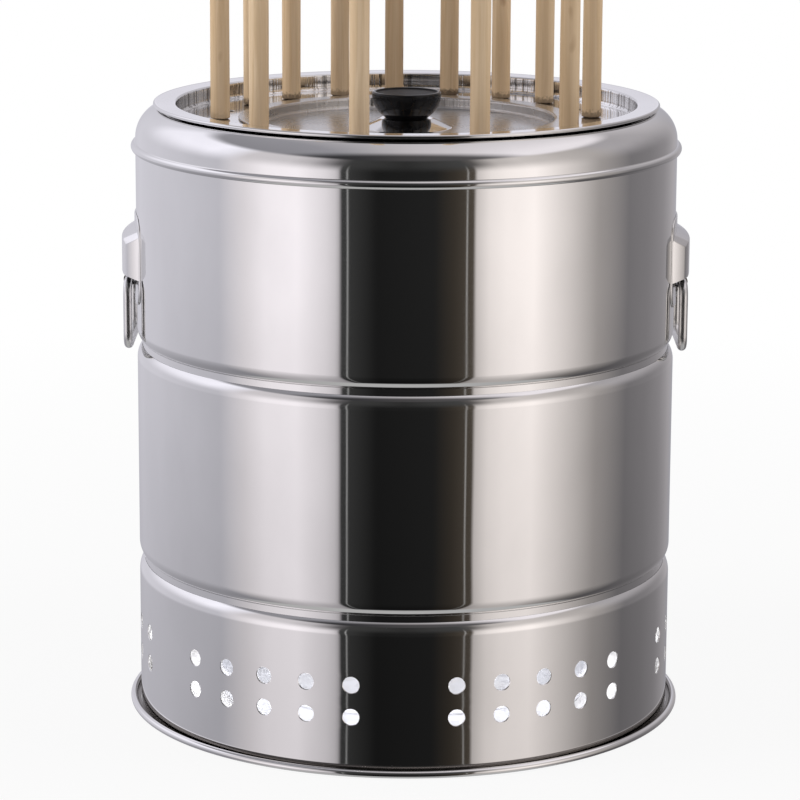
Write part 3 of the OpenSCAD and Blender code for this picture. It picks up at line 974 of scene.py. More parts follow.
@dataclass(frozen=True)
class PaleSoftwood:
    """Bare pale softwood dowel: long grain, a few knots, and a dark foot where it stands on the lid: charring
    with painted shade.
    """

    char_and_shade_z: float
    name: str = "pale_softwood"
    early: Colour = (0.8, 0.62, 0.43)
    late: Colour = (0.66, 0.48, 0.3)
    mottle: Colour = (0.7, 0.51, 0.32)
    darker: Colour = (0.58, 0.4, 0.23)
    knot: Colour = (0.3, 0.15, 0.07)
    # Colour of the dark foot: charring and painted shade at the lid
    char_and_shade: Colour = (0.06, 0.04, 0.03)
    ragged: float = 0.006
    relief: float = 0.00025

    def build(self) -> Material:
        """Makes the material.

        Returns:
            The material.
        """
        shader = Shader(self.name)
        shader.constant(Specular_IOR_Level=0.25)
        grain = shader.noise(shader.scaled(1, 1, 0.035), 420, 4, 0.8)
        broad = shader.noise(shader.scaled(1, 1, 0.08), 120)
        wood = shader.mix(shader.span(grain, 0.35, 0.68), self.early, self.late)
        mottled = shader.mix(shader.span(broad, 0.42, 0.75, 0, 0.6), wood, self.mottle)
        toned = shader.mix(shader.attribute("tone"), mottled, self.darker)
        knots = shader.span(shader.noise(shader.scaled(1, 1, 0.55), 62, 1), 0.7, 0.78, 0, 0.8)
        knotted = shader.mix(knots, toned, self.knot)
        # Dark band at the foot: charring, with painted shade where the handle stands on the lid
        height = shader.node("ShaderNodeSeparateXYZ", shader.place).outputs["Z"]
        ragged = shader.maths("MULTIPLY", shader.noise(shader.place, 700, 3), self.ragged)
        edge = shader.maths("SUBTRACT", height, ragged)
        near_lid = shader.span(edge, self.char_and_shade_z - 0.001, self.char_and_shade_z + 0.0012, 1, 0)
        charred_and_shaded = shader.maths("MULTIPLY", near_lid, shader.attribute("char_and_shade"))
        shader.feed("Base Color", shader.mix(charred_and_shaded, knotted, self.char_and_shade))
        shader.feed("Roughness", shader.span(grain, 0.3, 0.7, 0.5, 0.72))
        shader.feed("Normal", shader.bump(grain, self.relief))
        return shader.material


class Finishes:
    """The part's finishes: one for each material slot, and two that single pieces take instead."""

    def __init__(self, char_and_shade_z: float) -> None:
        """Makes every material.

        Args:
            char_and_shade_z: Height up to which the wood's foot is darkened by charring and painted shade, in
                metres.
        """
        self.spun = SpunSteel().build()
        self.zinc = ZincSheet().build()
        makers = {Slot.POLISHED: MirrorSteel(), Slot.DARKENED: DarkSteel(), Slot.PLAIN: DrawnSteel(),
                  Slot.KNOB: BlackMoulding(), Slot.WOOD: PaleSoftwood(char_and_shade_z)}
        self.made = {slot: maker.build() for slot, maker in makers.items()}

    def __getitem__(self, slot: Slot) -> Material:
        """The material of a slot."""
        return self.made[slot]


# Pieces


class Workshop:
    """Holds the finishes and node trees, and sets finished pieces on their bodies."""

    def __init__(self, frame: dict, finishes: Finishes) -> None:
        """Keeps the frame and makes the shared trees.

        Args:
            frame: The loaded frame.
            finishes: The part's finishes.
        """
        self.nodes: dict[str, Piece] = frame["nodes"]
        self.finishes = finishes
        self.ring = ring_repeat()
        self.wire = drawn_wire()

    def place(self, made: Piece, body: str, slot: Slot, *nodes: str) -> Piece:
        """Sets a piece on its body in place of CAD nodes.

        Args:
            made: The finished piece.
            body: Body that it rides on.
            slot: Material slot; not used.
            *nodes: CAD nodes that it stands for.

        Returns:
            The piece.
        """
        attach(made, body)
        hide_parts(*nodes)
        LOG.info("%s rides on %s: %d faces", made.name, body, len(made.data.polygons))
        return made

    def turned(self, node: str, body: str, slot: Slot, profile: Profile) -> Piece:
        """Makes a turned piece from a closed profile and places it.

        Args:
            node: CAD node that it stands for.
            body: Body that it rides on.
            slot: Material slot.
            profile: Radii and heights in millimetres.

        Returns:
            The piece.
        """
        draft = Draft()
        draft.turned(braced(profile))
        made = draft.merge().to_object(f"{node}_form", self.finishes[slot])
        return self.place(made, body, slot, node)

    def sectors(self, node: str, body: str, slot: Slot, sector: Draft, count: int, start: float = 0) -> Piece:
        """Repeats a sector all round the barrel's axis and places the result.

        Args:
            node: CAD node that it stands for.
            body: Body that it rides on.
            slot: Material slot.
            sector: Mesh of one sector.
            count: Number of sectors.
            start: Angle of the first sector, in degrees.

        Returns:
            The piece.
        """
        made = sector.merge().to_object(f"{node}_form")
        self.ring.run(made, self.finishes[slot], Count=count, Step=math.tau / count,
                      Start=math.radians(start), Weld=WELD * MM)
        return self.place(made, body, slot, node)

    def bent_wire(self, node: str, body: str, slot: Slot, path: Sequence[Vector], radius: float,
                  closed: bool) -> Piece:
        """Draws a wire along a path and places it.

        Args:
            node: CAD node that it stands for.
            body: Body that it rides on.
            slot: Material slot.
            path: Centre line in millimetres.
            radius: Radius of the wire in millimetres.
            closed: Whether the path is a loop.

        Returns:
            The piece.
        """
        made = path_object(f"{node}_form", path, closed)
        self.wire.run(made, self.finishes[slot], Radius=radius * MM, Sides=WIRE_SIDES)
        return self.place(made, body, slot, node)

    def eased_copy(self, node: str, body: str, slot: Slot, ease: float = 0.25) -> Piece:
        """Copies a CAD node, eases its edges and places the copy.

        Args:
            node: CAD node.
            body: Body that it rides on.
            slot: Material slot.
            ease: Width of the eased edges in millimetres.

        Returns:
            The piece.
        """
        bm = bmesh.new()
        bm.from_mesh(self.nodes[node].data)
        bmesh.ops.remove_doubles(bm, verts=bm.verts, dist=CAD_WELD)
        flattened(bm, CAD_FLAT)
        made = linked(f"{node}_form", filled_mesh(f"{node}_form", bm))
        made.data.materials.append(self.finishes[slot])
        bevel = made.modifiers.new("eased_edges", "BEVEL")
        bevel.width = ease * MM
        bevel.segments = EASE_STEPS
        bevel.angle_limit = math.radians(FOLDED_EDGE)
        return self.place(plain_mesh(made, FOLDED_EDGE), body, slot, node)


@dataclass
class BarrelShell:
    """The barrel: three bands necked into each other, collar, foot rim, floor and tray ledges."""

    radius: float = 150
    sheet: float = 1
    lower_seam: float = 85.5
    upper_seam: float = 207.8
    seam_depth: float = 3
    seam_roll: float = 10
    seam_lip: float = 9
    seam_gap: float = 3.6
    neck: float = 12
    bead_z: float = 317.4
    bead_r: float = 2.4
    collar_z: float = 322
    collar_roll: float = 18
    mouth_roll: float = 3
    mouth_skirt: float = 6
    curl_r: float = 2
    curl_gap: float = 1.9
    foot_lift: float = 0.2
    # Height of the painted shade at the wall's foot, in the crevice above the foot rim
    foot_shade_z: float = 1.6
    floor: float = 5
    floor_bead: float = 2
    floor_bead_r: float = 111
    vent_d: float = 9
    vent_z: float = 31.6
    vent_rise: float = 17.7
    vent_step: float = 9.6
    vent_groups: int = 6
    vent_columns: int = 5
    cell_rows: int = 8
    # Shares of painted shade: at the wall's foot and on the curl's inner half
    wall_foot_shade: float = 0.8
    curl_shade: float = 0.9
    rim_crest: float = 0.8
    lap: float = 0.1
    body: str = "barrel"

    @property
    def inner(self) -> float:
        """Inner radius of the wall."""
        return self.radius - self.sheet

    @property
    def neck_r(self) -> float:
        """Outer radius of a neck."""
        return self.radius - self.seam_depth

    @property
    def step_z(self) -> float:
        """Height of the step under the collar's bead."""
        return self.bead_z + self.bead_r - self.sheet

    @property
    def vents_top(self) -> float:
        """Upper edge of the vents' cells."""
        return self.vent_z + 1.5 * self.vent_rise

    def _shoulder(self, seam: float) -> Profile:
        """Rolled shoulder under a seam.

        Args:
            seam: Height of the seam.

        Returns:
            The profile, from the outer wall over to the inner wall.
        """
        centre_r = self.radius - self.seam_roll

        def end(roll: float) -> float:
            """Angle at which a roll meets the neck."""
            return math.degrees(math.acos((self.neck_r + self.lap - centre_r) / roll))

        z = seam - self.seam_gap / 2 - self.seam_roll * math.sin(math.radians(end(self.seam_roll)))
        inside = self.seam_roll - self.sheet
        centre = (centre_r, z)
        return arc(centre, self.seam_roll, 0, end(self.seam_roll)) + arc(centre, inside, end(inside), 0)

    def _lip(self, seam: float) -> Profile:
        """Lip and neck above a seam.

        Args:
            seam: Height of the seam.

        Returns:
            The profile, from the inner wall round to the outer wall.
        """
        centre_r = self.radius - self.seam_lip

        def end(radius: float, reach: float) -> float:
            """Angle at which a lip's arc comes to a radius."""
            return math.degrees(math.acos((reach - centre_r) / radius))

        z = seam + self.seam_gap / 2
        inside, neck_in = self.seam_lip - self.sheet, self.neck_r - self.sheet
        outer_end = end(self.seam_lip, self.neck_r)
        centre = (centre_r, z + self.seam_lip * math.sin(math.radians(outer_end)))
        return (arc(centre, inside, 0, -end(inside, neck_in))
                + [(neck_in, z - self.neck), (self.neck_r, z - self.neck)]
                + arc(centre, self.seam_lip, -outer_end, 0))

    def _collar(self) -> Profile:
        """Bead, rounded shoulder and the roll at the mouth.

        Returns:
            The closed profile.
        """
        crown = (self.radius - self.collar_roll, self.collar_z)
        roll = (crown[0], self.collar_z + self.collar_roll - self.mouth_roll)
        mouth = crown[0] - self.mouth_roll
        skirt = roll[1] - self.mouth_skirt
        out = self.radius + self.lap
        return (arc((out, self.bead_z), self.bead_r, -90, 90)
                + arc(crown, self.collar_roll, 0, 90, 3 * ARC_STEPS)
                + arc(roll, self.mouth_roll, 90, 180)
                + [(mouth, skirt), (mouth + self.sheet, skirt)]
                + arc(roll, self.mouth_roll - self.sheet, 180, 90)
                + arc(crown, self.collar_roll - self.sheet, 90, 0, 3 * ARC_STEPS)
                + [(self.inner, self.step_z), (out, self.step_z)])

    def _vent_sector(self) -> Draft:
        """One group of vents with half of the bare strip on either side.

        Returns:
            The sector's mesh.
        """
        sector = Draft()
        half = 180 / self.vent_groups
        group = self.vent_columns * self.vent_step / 2
        low, high = self.vent_z - self.vent_rise / 2, self.vents_top
        foot = self.foot_lift
        upper = [(self.radius, high)] + self._shoulder(self.lower_seam) + [(self.inner, high)]
        lower = [(self.inner, low), (self.inner, foot), (self.radius, foot), (self.radius, self.foot_shade_z),
                 (self.radius, 2 * self.foot_shade_z), (self.radius, low)]
        for profile in (upper, lower):
            sector.turned(braced(profile, closed=False), -half, half, closed=False)
        rows = self.cell_rows
        heights = [low + self.vent_rise * i / rows for i in range(2 * rows + 1)]
        for start, end in ((-half, -group), (group, half)):
            for r in (self.radius, self.inner):
                sector.turned([(r, z) for z in heights], start, end, closed=False)
        columns = round(self.vent_step * ROUND_STEPS / 360)
        width = math.radians(self.vent_step) * self.radius
        cell = HoledCell(width, self.vent_rise, columns, rows, self.vent_d, self.vent_d)
        for column in range(self.vent_columns):
            middle = (column - (self.vent_columns - 1) / 2) * self.vent_step
            for row in range(2):
                z = self.vent_z + row * self.vent_rise
                cell.lay(sector, lambda u, v, depth, a=middle, z=z: around(
                    self.radius - depth, a + math.degrees(u / self.radius), z + v), self.sheet)
        return sector

    def build(self, shop: Workshop) -> None:
        """Makes the barrel's pieces.

        Args:
            shop: The workshop.
        """
        edge = self.step_z - self.lap
        slot = Slot.POLISHED
        shop.turned("shoulder_collar", self.body, slot, self._collar())
        upper = self._lip(self.upper_seam) + [(self.radius, edge), (self.inner, edge)]
        shop.turned("upper_band", self.body, slot, upper)
        middle = self._lip(self.lower_seam) + self._shoulder(self.upper_seam)
        shop.turned("middle_band", self.body, slot, middle)
        groups = self.vent_groups
        vents = shop.sectors("vent_band", self.body, slot, self._vent_sector(), groups, 180 / groups)
        # Painted shade in the crevice where the wall's foot meets the foot rim
        mark_where(vents, "painted_shade", lambda r, z: self.wall_foot_shade if z < self.foot_shade_z + HAIR else 0)
        top = self.vents_top + self.sheet
        mark_where(vents, "inside", lambda r, z: float(r < self.radius - self.sheet / 2 and z < top))
        rim = shop.turned("foot_rim", self.body, slot, self._foot())
        # Painted shade on the curl's inner half and its web, where the crevice and the wall's dark reflection
        # fall
        crest = self.radius + self.curl_gap + self.rim_crest * self.curl_r
        mark_where(rim, "painted_shade", lambda r, z: self.curl_shade if r < crest and z > HAIR else 0)
        mark_all(shop.turned("base_pan", self.body, slot, self._floor()), "inside", 1)
        shop.eased_copy("tray_ledges", self.body, slot)

    def _foot(self) -> Profile:
        """Flat web out from the wall's foot, ending in a curl.

        Returns:
            The closed profile.
        """
        web, curl = self.radius + self.lap, self.radius + self.curl_gap
        return ([(web, 0.0)] + arc((curl + self.curl_r, self.curl_r), self.curl_r, -90, 180, 3 * ARC_STEPS)
                + [(curl, self.sheet), (web, self.sheet)])

    def _floor(self) -> Profile:
        """Floor of the barrel with a bead and a skirt inside the wall.

        Returns:
            The closed profile.
        """
        run, start = 2 * self.floor_bead, self.floor_bead_r
        beads = [(start, 0.0), (start + run, self.floor_bead), (start + 2 * run, 0.0)]
        skirt, foot = self.inner - self.lap, self.foot_lift
        under = self.floor - self.sheet
        return ([(0, self.floor)] + [(r, self.floor + z) for r, z in beads]
                + [(skirt, self.floor), (skirt, foot)]
                + [(skirt - self.sheet, foot), (skirt - self.sheet, under)]
                + [(r, under + z) for r, z in beads[::-1]] + [(0, under)])


@dataclass
class CarryRings:
    """Two hooded brackets on the barrel, each with a keeper strap and a wire ring."""

    barrel_r: float = 150
    sheet: float = 0.8
    wire_r: float = 2.5
    width: float = 50
    length: float = 35
    corner: float = 7
    hinge_x: float = 153.7
    hinge_z: float = 242.4
    hood_r: float = 157.98
    hood_half: float = 29.3
    hood_top: float = 268.7
    hood_roof: float = 4.6
    hood_flare: float = 6.5
    hood_corner: float = 4
    flank_swell: float = 0.5
    lip: float = 4.5
    lip_rise: float = 2
    plate_low: float = 230.8
    plate_high: float = 280.5
    plate_corner: float = 9.5
    plate_feather: float = 1.0
    plate_step: float = 2
    plate_back: tuple[float, ...] = (0.02, 0.3, 0.6, 0.9)
    plate_front: tuple[float, ...] = (0.9, 0.75, 0.6, 0.45, 0.3, 0.15, 0.02)
    face_slices: int = 14
    flank_slices: int = 8
    flank_drop: float = 0.6
    hood_flat: float = 0.4
    wire_margin: float = 1.5
    bracket_satin: float = 0.5
    ring_satin: float = 1.25
    lap: float = 0.1

    @property
    def wall_r(self) -> float:
        """Radius of the barrel's wall with the lap."""
        return self.barrel_r + self.lap

    @property
    def plate_r(self) -> float:
        """Outer radius of the bracket's plate."""
        return self.wall_r + self.sheet

    def _roof_rise(self, radius: float) -> float:
        """How much higher the roof stands at a radius than at the face."""
        return self.hood_roof * (self.hood_r - radius) / (self.hood_r - self.plate_r)

    def _slice(self, turn: float, face_r: float, top: float) -> list[Vector]:
        """Radial slice of the hood's outside, from inside the wall out to the face, under the roof.

        Args:
            turn: Angle of the slice from +X, in radians.
            face_r: Radius of the face there.
            top: Height of the face there.

        Returns:
            The slice's points.
        """
        foot = self.barrel_r - self.sheet / 2
        slope = self.hood_roof / (self.hood_r - self.plate_r)
        ease = self.hood_corner / 2
        edge = arc((face_r - ease, top - ease), ease, 0, 90 - math.degrees(math.atan(slope)), 6)
        roof_foot = edge[-1][1] + slope * (edge[-1][0] - foot)
        outline = [(foot, self.hinge_z), (face_r, self.hinge_z), *edge, (foot, roof_foot)]
        return [Vector((r * math.cos(turn), r * math.sin(turn), z)) for r, z in outline]

    def _flank(self, side: int) -> list[Vector]:
        """Slices between the hood's face and the barrel on one side, a little outside the straight line.

        Args:
            side: 1 on the +Y side, -1 on the other.

        Returns:
            The slices' points.
        """
        half, spread = self.hood_half, self.hood_half + self.hood_flare
        outer = Vector((math.sqrt(self.hood_r ** 2 - half ** 2), half))
        inner = Vector((math.sqrt(self.wall_r ** 2 - spread ** 2), spread))
        run = (inner - outer).normalized()
        swell = Vector((-run.y, run.x)) * -4 * self.flank_swell
        points: list[Vector] = []
        for i in range(1, self.flank_slices):
            share = i / self.flank_slices
            place = outer.lerp(inner, share) + swell * share * (1 - share)
            top = self.hood_top + self._roof_rise(place.length) - self.flank_drop * self.hood_corner
            points += self._slice(side * math.atan2(place.y, place.x), place.length, top)
        return points

    def _hood(self) -> Draft:
        """Outer skin of the hood: a face that follows the barrel, sides that spread to it, open below.

        Returns:
            The skin's mesh.
        """
        half, corner, count = self.hood_half, self.hood_corner, self.face_slices
        wall_top = self.hood_top + self._roof_rise(self.wall_r)
        span = math.asin((half - corner) / self.hood_r)
        points: list[Vector] = []
        for i in range(-count, count + 1):
            points += self._slice(span * i / count, self.hood_r, self.hood_top)
        for side in (-1, 1):
            for a in range(0, 91, 10):
                drop = corner * (1 - math.cos(math.radians(a)))
                back = corner * (1 - math.sin(math.radians(a)))
                turn = side * math.asin((half - back) / self.hood_r)
                points += self._slice(turn, self.hood_r - drop / 2, self.hood_top - drop)
                turn = side * math.asin((half + self.hood_flare - back) / self.wall_r)
                points += self._slice(turn, self.wall_r, wall_top - drop)
            points += self._flank(side)
        hood = Draft()
        for point in points:
            hood.bm.verts.new(point)
        hull = bmesh.ops.convex_hull(hood.bm, input=hood.bm.verts)
        spare = [v for v in hull["geom_interior"] + hull["geom_unused"] if isinstance(v, bmesh.types.BMVert)]
        bmesh.ops.delete(hood.bm, geom=list(set(spare)), context="VERTS")
        bmesh.ops.recalc_face_normals(hood.bm, faces=hood.bm.faces)
        rise = self.lip_rise / (self.hood_r - self.plate_r)
        everything = list(hood.bm.verts) + list(hood.bm.edges) + list(hood.bm.faces)
        bmesh.ops.bisect_plane(hood.bm, geom=everything, clear_inner=True, plane_no=(-rise, 0, 1),
                               plane_co=(self.plate_r, 0, self.hinge_z + self.lip))
        behind = [f for f in hood.bm.faces if max(v.co.xy.length for v in f.verts) < self.barrel_r]
        bmesh.ops.delete(hood.bm, geom=behind, context="FACES")
        flattened(hood.bm, self.hood_flat)
        return hood

    def _plate(self) -> Draft:
        """Round-cornered plate bent to the barrel.

        Returns:
            The plate's mesh.
        """
        half = self.hood_half + self.hood_flare
        middle = (self.plate_low + self.plate_high) / 2
        tall = (self.plate_high - self.plate_low) / 2
        loop = divided(rounded_rectangle(half, tall, self.plate_corner, 8), self.plate_step)

        def ring(share: float, radius: float) -> list[Vector]:
            """Shrunken outline of the plate, bent to a radius."""
            flat = [(y * share, middle + z * share) for y, z in loop]
            return [Vector((math.sqrt(radius ** 2 - y ** 2), y, z)) for y, z in flat]

        back = self.plate_r - self.sheet
        plate = Draft()
        rows = [ring(s, back) for s in self.plate_back]
        for a in range(0, 91, 15):
            turn = math.radians(a)
            inset = self.plate_feather / half * (1 - math.cos(turn))
            rows.append(ring(1 - inset, back + self.sheet * math.sin(turn)))
        rows += [ring(s, self.plate_r) for s in self.plate_front]
        plate.grid(rows, close_rows=True)
        plate.cap(rows[0])
        plate.cap(rows[-1])
        return plate

    def _bracket(self, shop: Workshop, name: str) -> Piece:
        """Bracket on the +X side: the hood given its thickness, joined to the plate.

        Args:
            shop: The workshop.
            name: Name of the bracket.

        Returns:
            The bracket.
        """
        hood = self._hood().to_object(f"{name}_hood", sharp=FOLDED_EDGE)
        wall = hood.modifiers.new("sheet", "SOLIDIFY")
        wall.thickness = self.sheet * MM
        wall.offset = -1
        wall.use_even_offset = True
        hood = plain_mesh(hood, FOLDED_EDGE)
        plate = self._plate().merge().to_object(f"{name}_plate", sharp=FOLDED_EDGE)
        bm = bmesh.new()
        for part in (plate, hood):
            bm.from_mesh(part.data)
            bpy.data.objects.remove(part)
        made = linked(name, filled_mesh(name, bm))
        made.data.materials.append(shop.finishes[Slot.POLISHED])
        smoothed(made.data, FOLDED_EDGE)
        made.modifiers.new("flat_faces_lead", "WEIGHTED_NORMAL").keep_sharp = True
        made = plain_mesh(made, FOLDED_EDGE)
        mark_all(made, "satin", self.bracket_satin)
        return made

    def _ring_path(self) -> list[Vector]:
        """Centre line of the hanging ring on the +X side.

        Returns:
            The points, in millimetres.
        """
        outline = rounded_rectangle(self.width / 2, self.length / 2, self.corner, 10)
        middle = self.hinge_z - self.length / 2
        return [Vector((self.hinge_x, y, middle + z)) for y, z in braced(outline, margin=self.wire_margin)]

    def build(self, shop: Workshop) -> None:
        """Makes both brackets, rings and the keeper straps.

        Args:
            shop: The workshop.
        """
        for side, turn in (("right", 0), ("left", 180)):
            spin = Matrix.Rotation(math.radians(turn), 4, "Z")
            bracket = self._bracket(shop, f"ear_bracket_{side}_form")
            bracket.data.transform(spin)
            shop.place(bracket, "barrel", Slot.POLISHED, f"ear_bracket_{side}")
            path = [spin @ p for p in self._ring_path()]
            name = f"carry_ring_{side}"
            ring = shop.bent_wire(name, name, Slot.POLISHED, path, self.wire_r, closed=True)
            mark_all(ring, "satin", self.ring_satin)
        shop.eased_copy("ring_keepers", "barrel", Slot.POLISHED, 0.2)


@dataclass
class SkewerLid:
    """Dished lid with a hemmed flange, a ring of skewer holes and a fire hole."""

    sheet: float = 1
    flange_top: float = 341.3
    flange_r: float = 140
    flange_fillet: float = 1.6
    hem_r: float = 1
    plate_top: float = 331.9
    well_r: float = 127.3
    well_fillet: float = 2.5
    fire_hole_r: float = 83.5
    fire_lip: float = 5
    holes: int = 20
    hole_d: float = 7
    circle_r: float = 103
    phase: float = -14
    cell_h: float = 22
    cell_rows: int = 8
    satin: float = 0.25

    def _sector(self) -> Draft:
        """One skewer hole's share of the lid.

        Returns:
            The sector's mesh.
        """
        sector = Draft()
        half = 180 / self.holes
        well = (self.well_r - self.well_fillet, self.plate_top + self.well_fillet)
        flange = (self.well_r + self.flange_fillet, self.flange_top - self.flange_fillet)
        hem = (self.flange_r - self.hem_r, self.flange_top - self.sheet + 0.4 * self.hem_r)
        roll = 2 * self.sheet
        lip = (self.fire_hole_r + roll, self.plate_top - roll)
        inside, outside = self.circle_r - self.cell_h / 2, self.circle_r + self.cell_h / 2
        under = self.plate_top - self.sheet
        outer = ([(outside, self.plate_top)] + arc(well, self.well_fillet, -90, 0)
                 + arc(flange, self.flange_fillet, 180, 90) + arc(hem, self.hem_r, 120, -120, 2 * ARC_STEPS)
                 + [(self.flange_r - 2 * self.hem_r, self.flange_top - self.sheet)]
                 + arc(flange, self.flange_fillet - self.sheet, 90, 180)
                 + arc(well, self.well_fillet + self.sheet, 0, -90) + [(outside, under)])
        inner = ([(inside, under)] + arc(lip, roll - self.sheet, 90, 180)
                 + [(self.fire_hole_r + self.sheet, self.plate_top - self.fire_lip),
                    (self.fire_hole_r, self.plate_top - self.fire_lip)]
                 + arc(lip, roll, 180, 90) + [(inside, self.plate_top)])
        for profile in (outer, inner):
            sector.turned(braced(profile, closed=False), -half, half, closed=False)
        columns = round(2 * half * ROUND_STEPS / 360)
        width = math.radians(2 * half) * self.circle_r
        cell = HoledCell(width, self.cell_h, columns, self.cell_rows, self.hole_d, self.hole_d)

        def bend(u: float, v: float, depth: float) -> Vector:
            """Point of the flat cell on the plate."""
            return around(self.circle_r + v, math.degrees(u / self.circle_r), self.plate_top - depth)

        cell.lay(sector, bend, self.sheet)
        return sector

    def build(self, shop: Workshop) -> None:
        """Makes the lid.

        Args:
            shop: The workshop.
        """
        made = shop.sectors("skewer_lid", "skewer_lid", Slot.POLISHED, self._sector(), self.holes, self.phase)
        mark_all(made, "satin", self.satin)
        mark_drawn_wall(made, self.well_r, self.plate_top, self.flange_top)


@dataclass
class FireHoleCover:
    """Dished cover of the fire hole with its cone, knob, screw and washer."""

    sheet: float = 1
    top: float = 333.2
    floor: float = 326.8
    boss_top: float = 332
    boss_foot_r: float = 25
    boss_top_r: float = 14.6
    boss_ease: float = 1.5
    well_r: float = 81.8
    rim_r: float = 93
    fillet: float = 2
    flange_fillet: float = 1.6
    screw_hole_r: float = 2.7
    knob_r: float = 19.2
    knob_foot_r: float = 11.4
    knob_bowl: float = 2.5
    knob_h: float = 14.8
    rim: float = 1.2
    dish: float = 0.9
    dish_inset: float = 2.6
    dish_edge: float = 0.8
    dish_drop: float = 0.1
    body: str = "fire_hole_cover"

    def _cover(self) -> Profile:
        """Dished cover with its cone.

        Returns:
            The closed profile.
        """
        well = (self.well_r - self.fillet, self.floor + self.fillet)
        flange = (self.well_r + self.flange_fillet, self.top - self.flange_fillet)
        edge = self.sheet / 2
        boss = [(self.screw_hole_r, self.boss_top)] + self._boss()
        return (boss + arc(well, self.fillet, -90, 0) + arc(flange, self.flange_fillet, 180, 90)
                + arc((self.rim_r - edge, self.top - edge), edge, 90, -90, 8)
                + arc(flange, self.flange_fillet - self.sheet, 90, 180)
                + arc(well, self.fillet + self.sheet, 0, -90)
                + [(r, z - self.sheet) for r, z in boss[::-1]])

    def _boss(self) -> Profile:
        """Cone under the knob, with eased corners.

        Returns:
            The profile, from the crest to the foot.
        """
        slope = math.degrees(math.atan2(self.boss_top - self.floor, self.boss_foot_r - self.boss_top_r))
        ease = self.boss_ease
        reach = ease * math.tan(math.radians(slope / 2))
        crest = arc((self.boss_top_r - reach, self.boss_top - ease), ease, 90, 90 - slope, 5)
        foot = arc((self.boss_foot_r + reach, self.floor + ease), ease, 270 - slope, 270, 5)
        return crest + foot

    def _knob(self) -> Profile:
        """Knob with swelling sides, a round rim and a dished top.

        Returns:
            The closed profile.
        """
        side_h, swell = self.knob_h - self.rim, self.knob_r - self.knob_foot_r
        shares = [i / 20 for i in range(21)]
        sides = [(self.knob_foot_r + swell * (1 - (1 - t) ** self.knob_bowl), side_h * t) for t in shares]
        top = self.knob_h - self.dish
        dish = (self.knob_r - self.dish_inset * self.rim, self.knob_h - self.dish_drop)
        made = ([(0, 0)] + sides + arc((self.knob_r - self.rim, side_h), self.rim, 0, 90, 8)
                + arc(dish, self.dish_edge, 0, -90, 6) + [(0, top)])
        return [(r, self.boss_top + z) for r, z in made]

    def build(self, shop: Workshop) -> None:
        """Makes the cover and what is fixed to it.

        Args:
            shop: The workshop.
        """
        cover = shop.turned("fire_hole_cover", self.body, Slot.POLISHED, self._cover())
        cover.data.materials[0] = shop.finishes.spun
        mark_drawn_wall(cover, self.well_r, self.floor, self.top)
        mark_where(cover, "polished", lambda r, z: float(r < self.boss_foot_r + 0.5))
        knob = shop.turned("cover_knob", self.body, Slot.KNOB, self._knob())
        crown, dish_r = self.boss_top + self.knob_h - 1.5 * self.rim, self.knob_r - 1.5 * self.rim
        mark_where(knob, "matte", lambda r, z: float(r < dish_r and z > crown))
        for node in ("knob_screw", "knob_washer"):
            shop.eased_copy(node, self.body, Slot.PLAIN, 0.15)


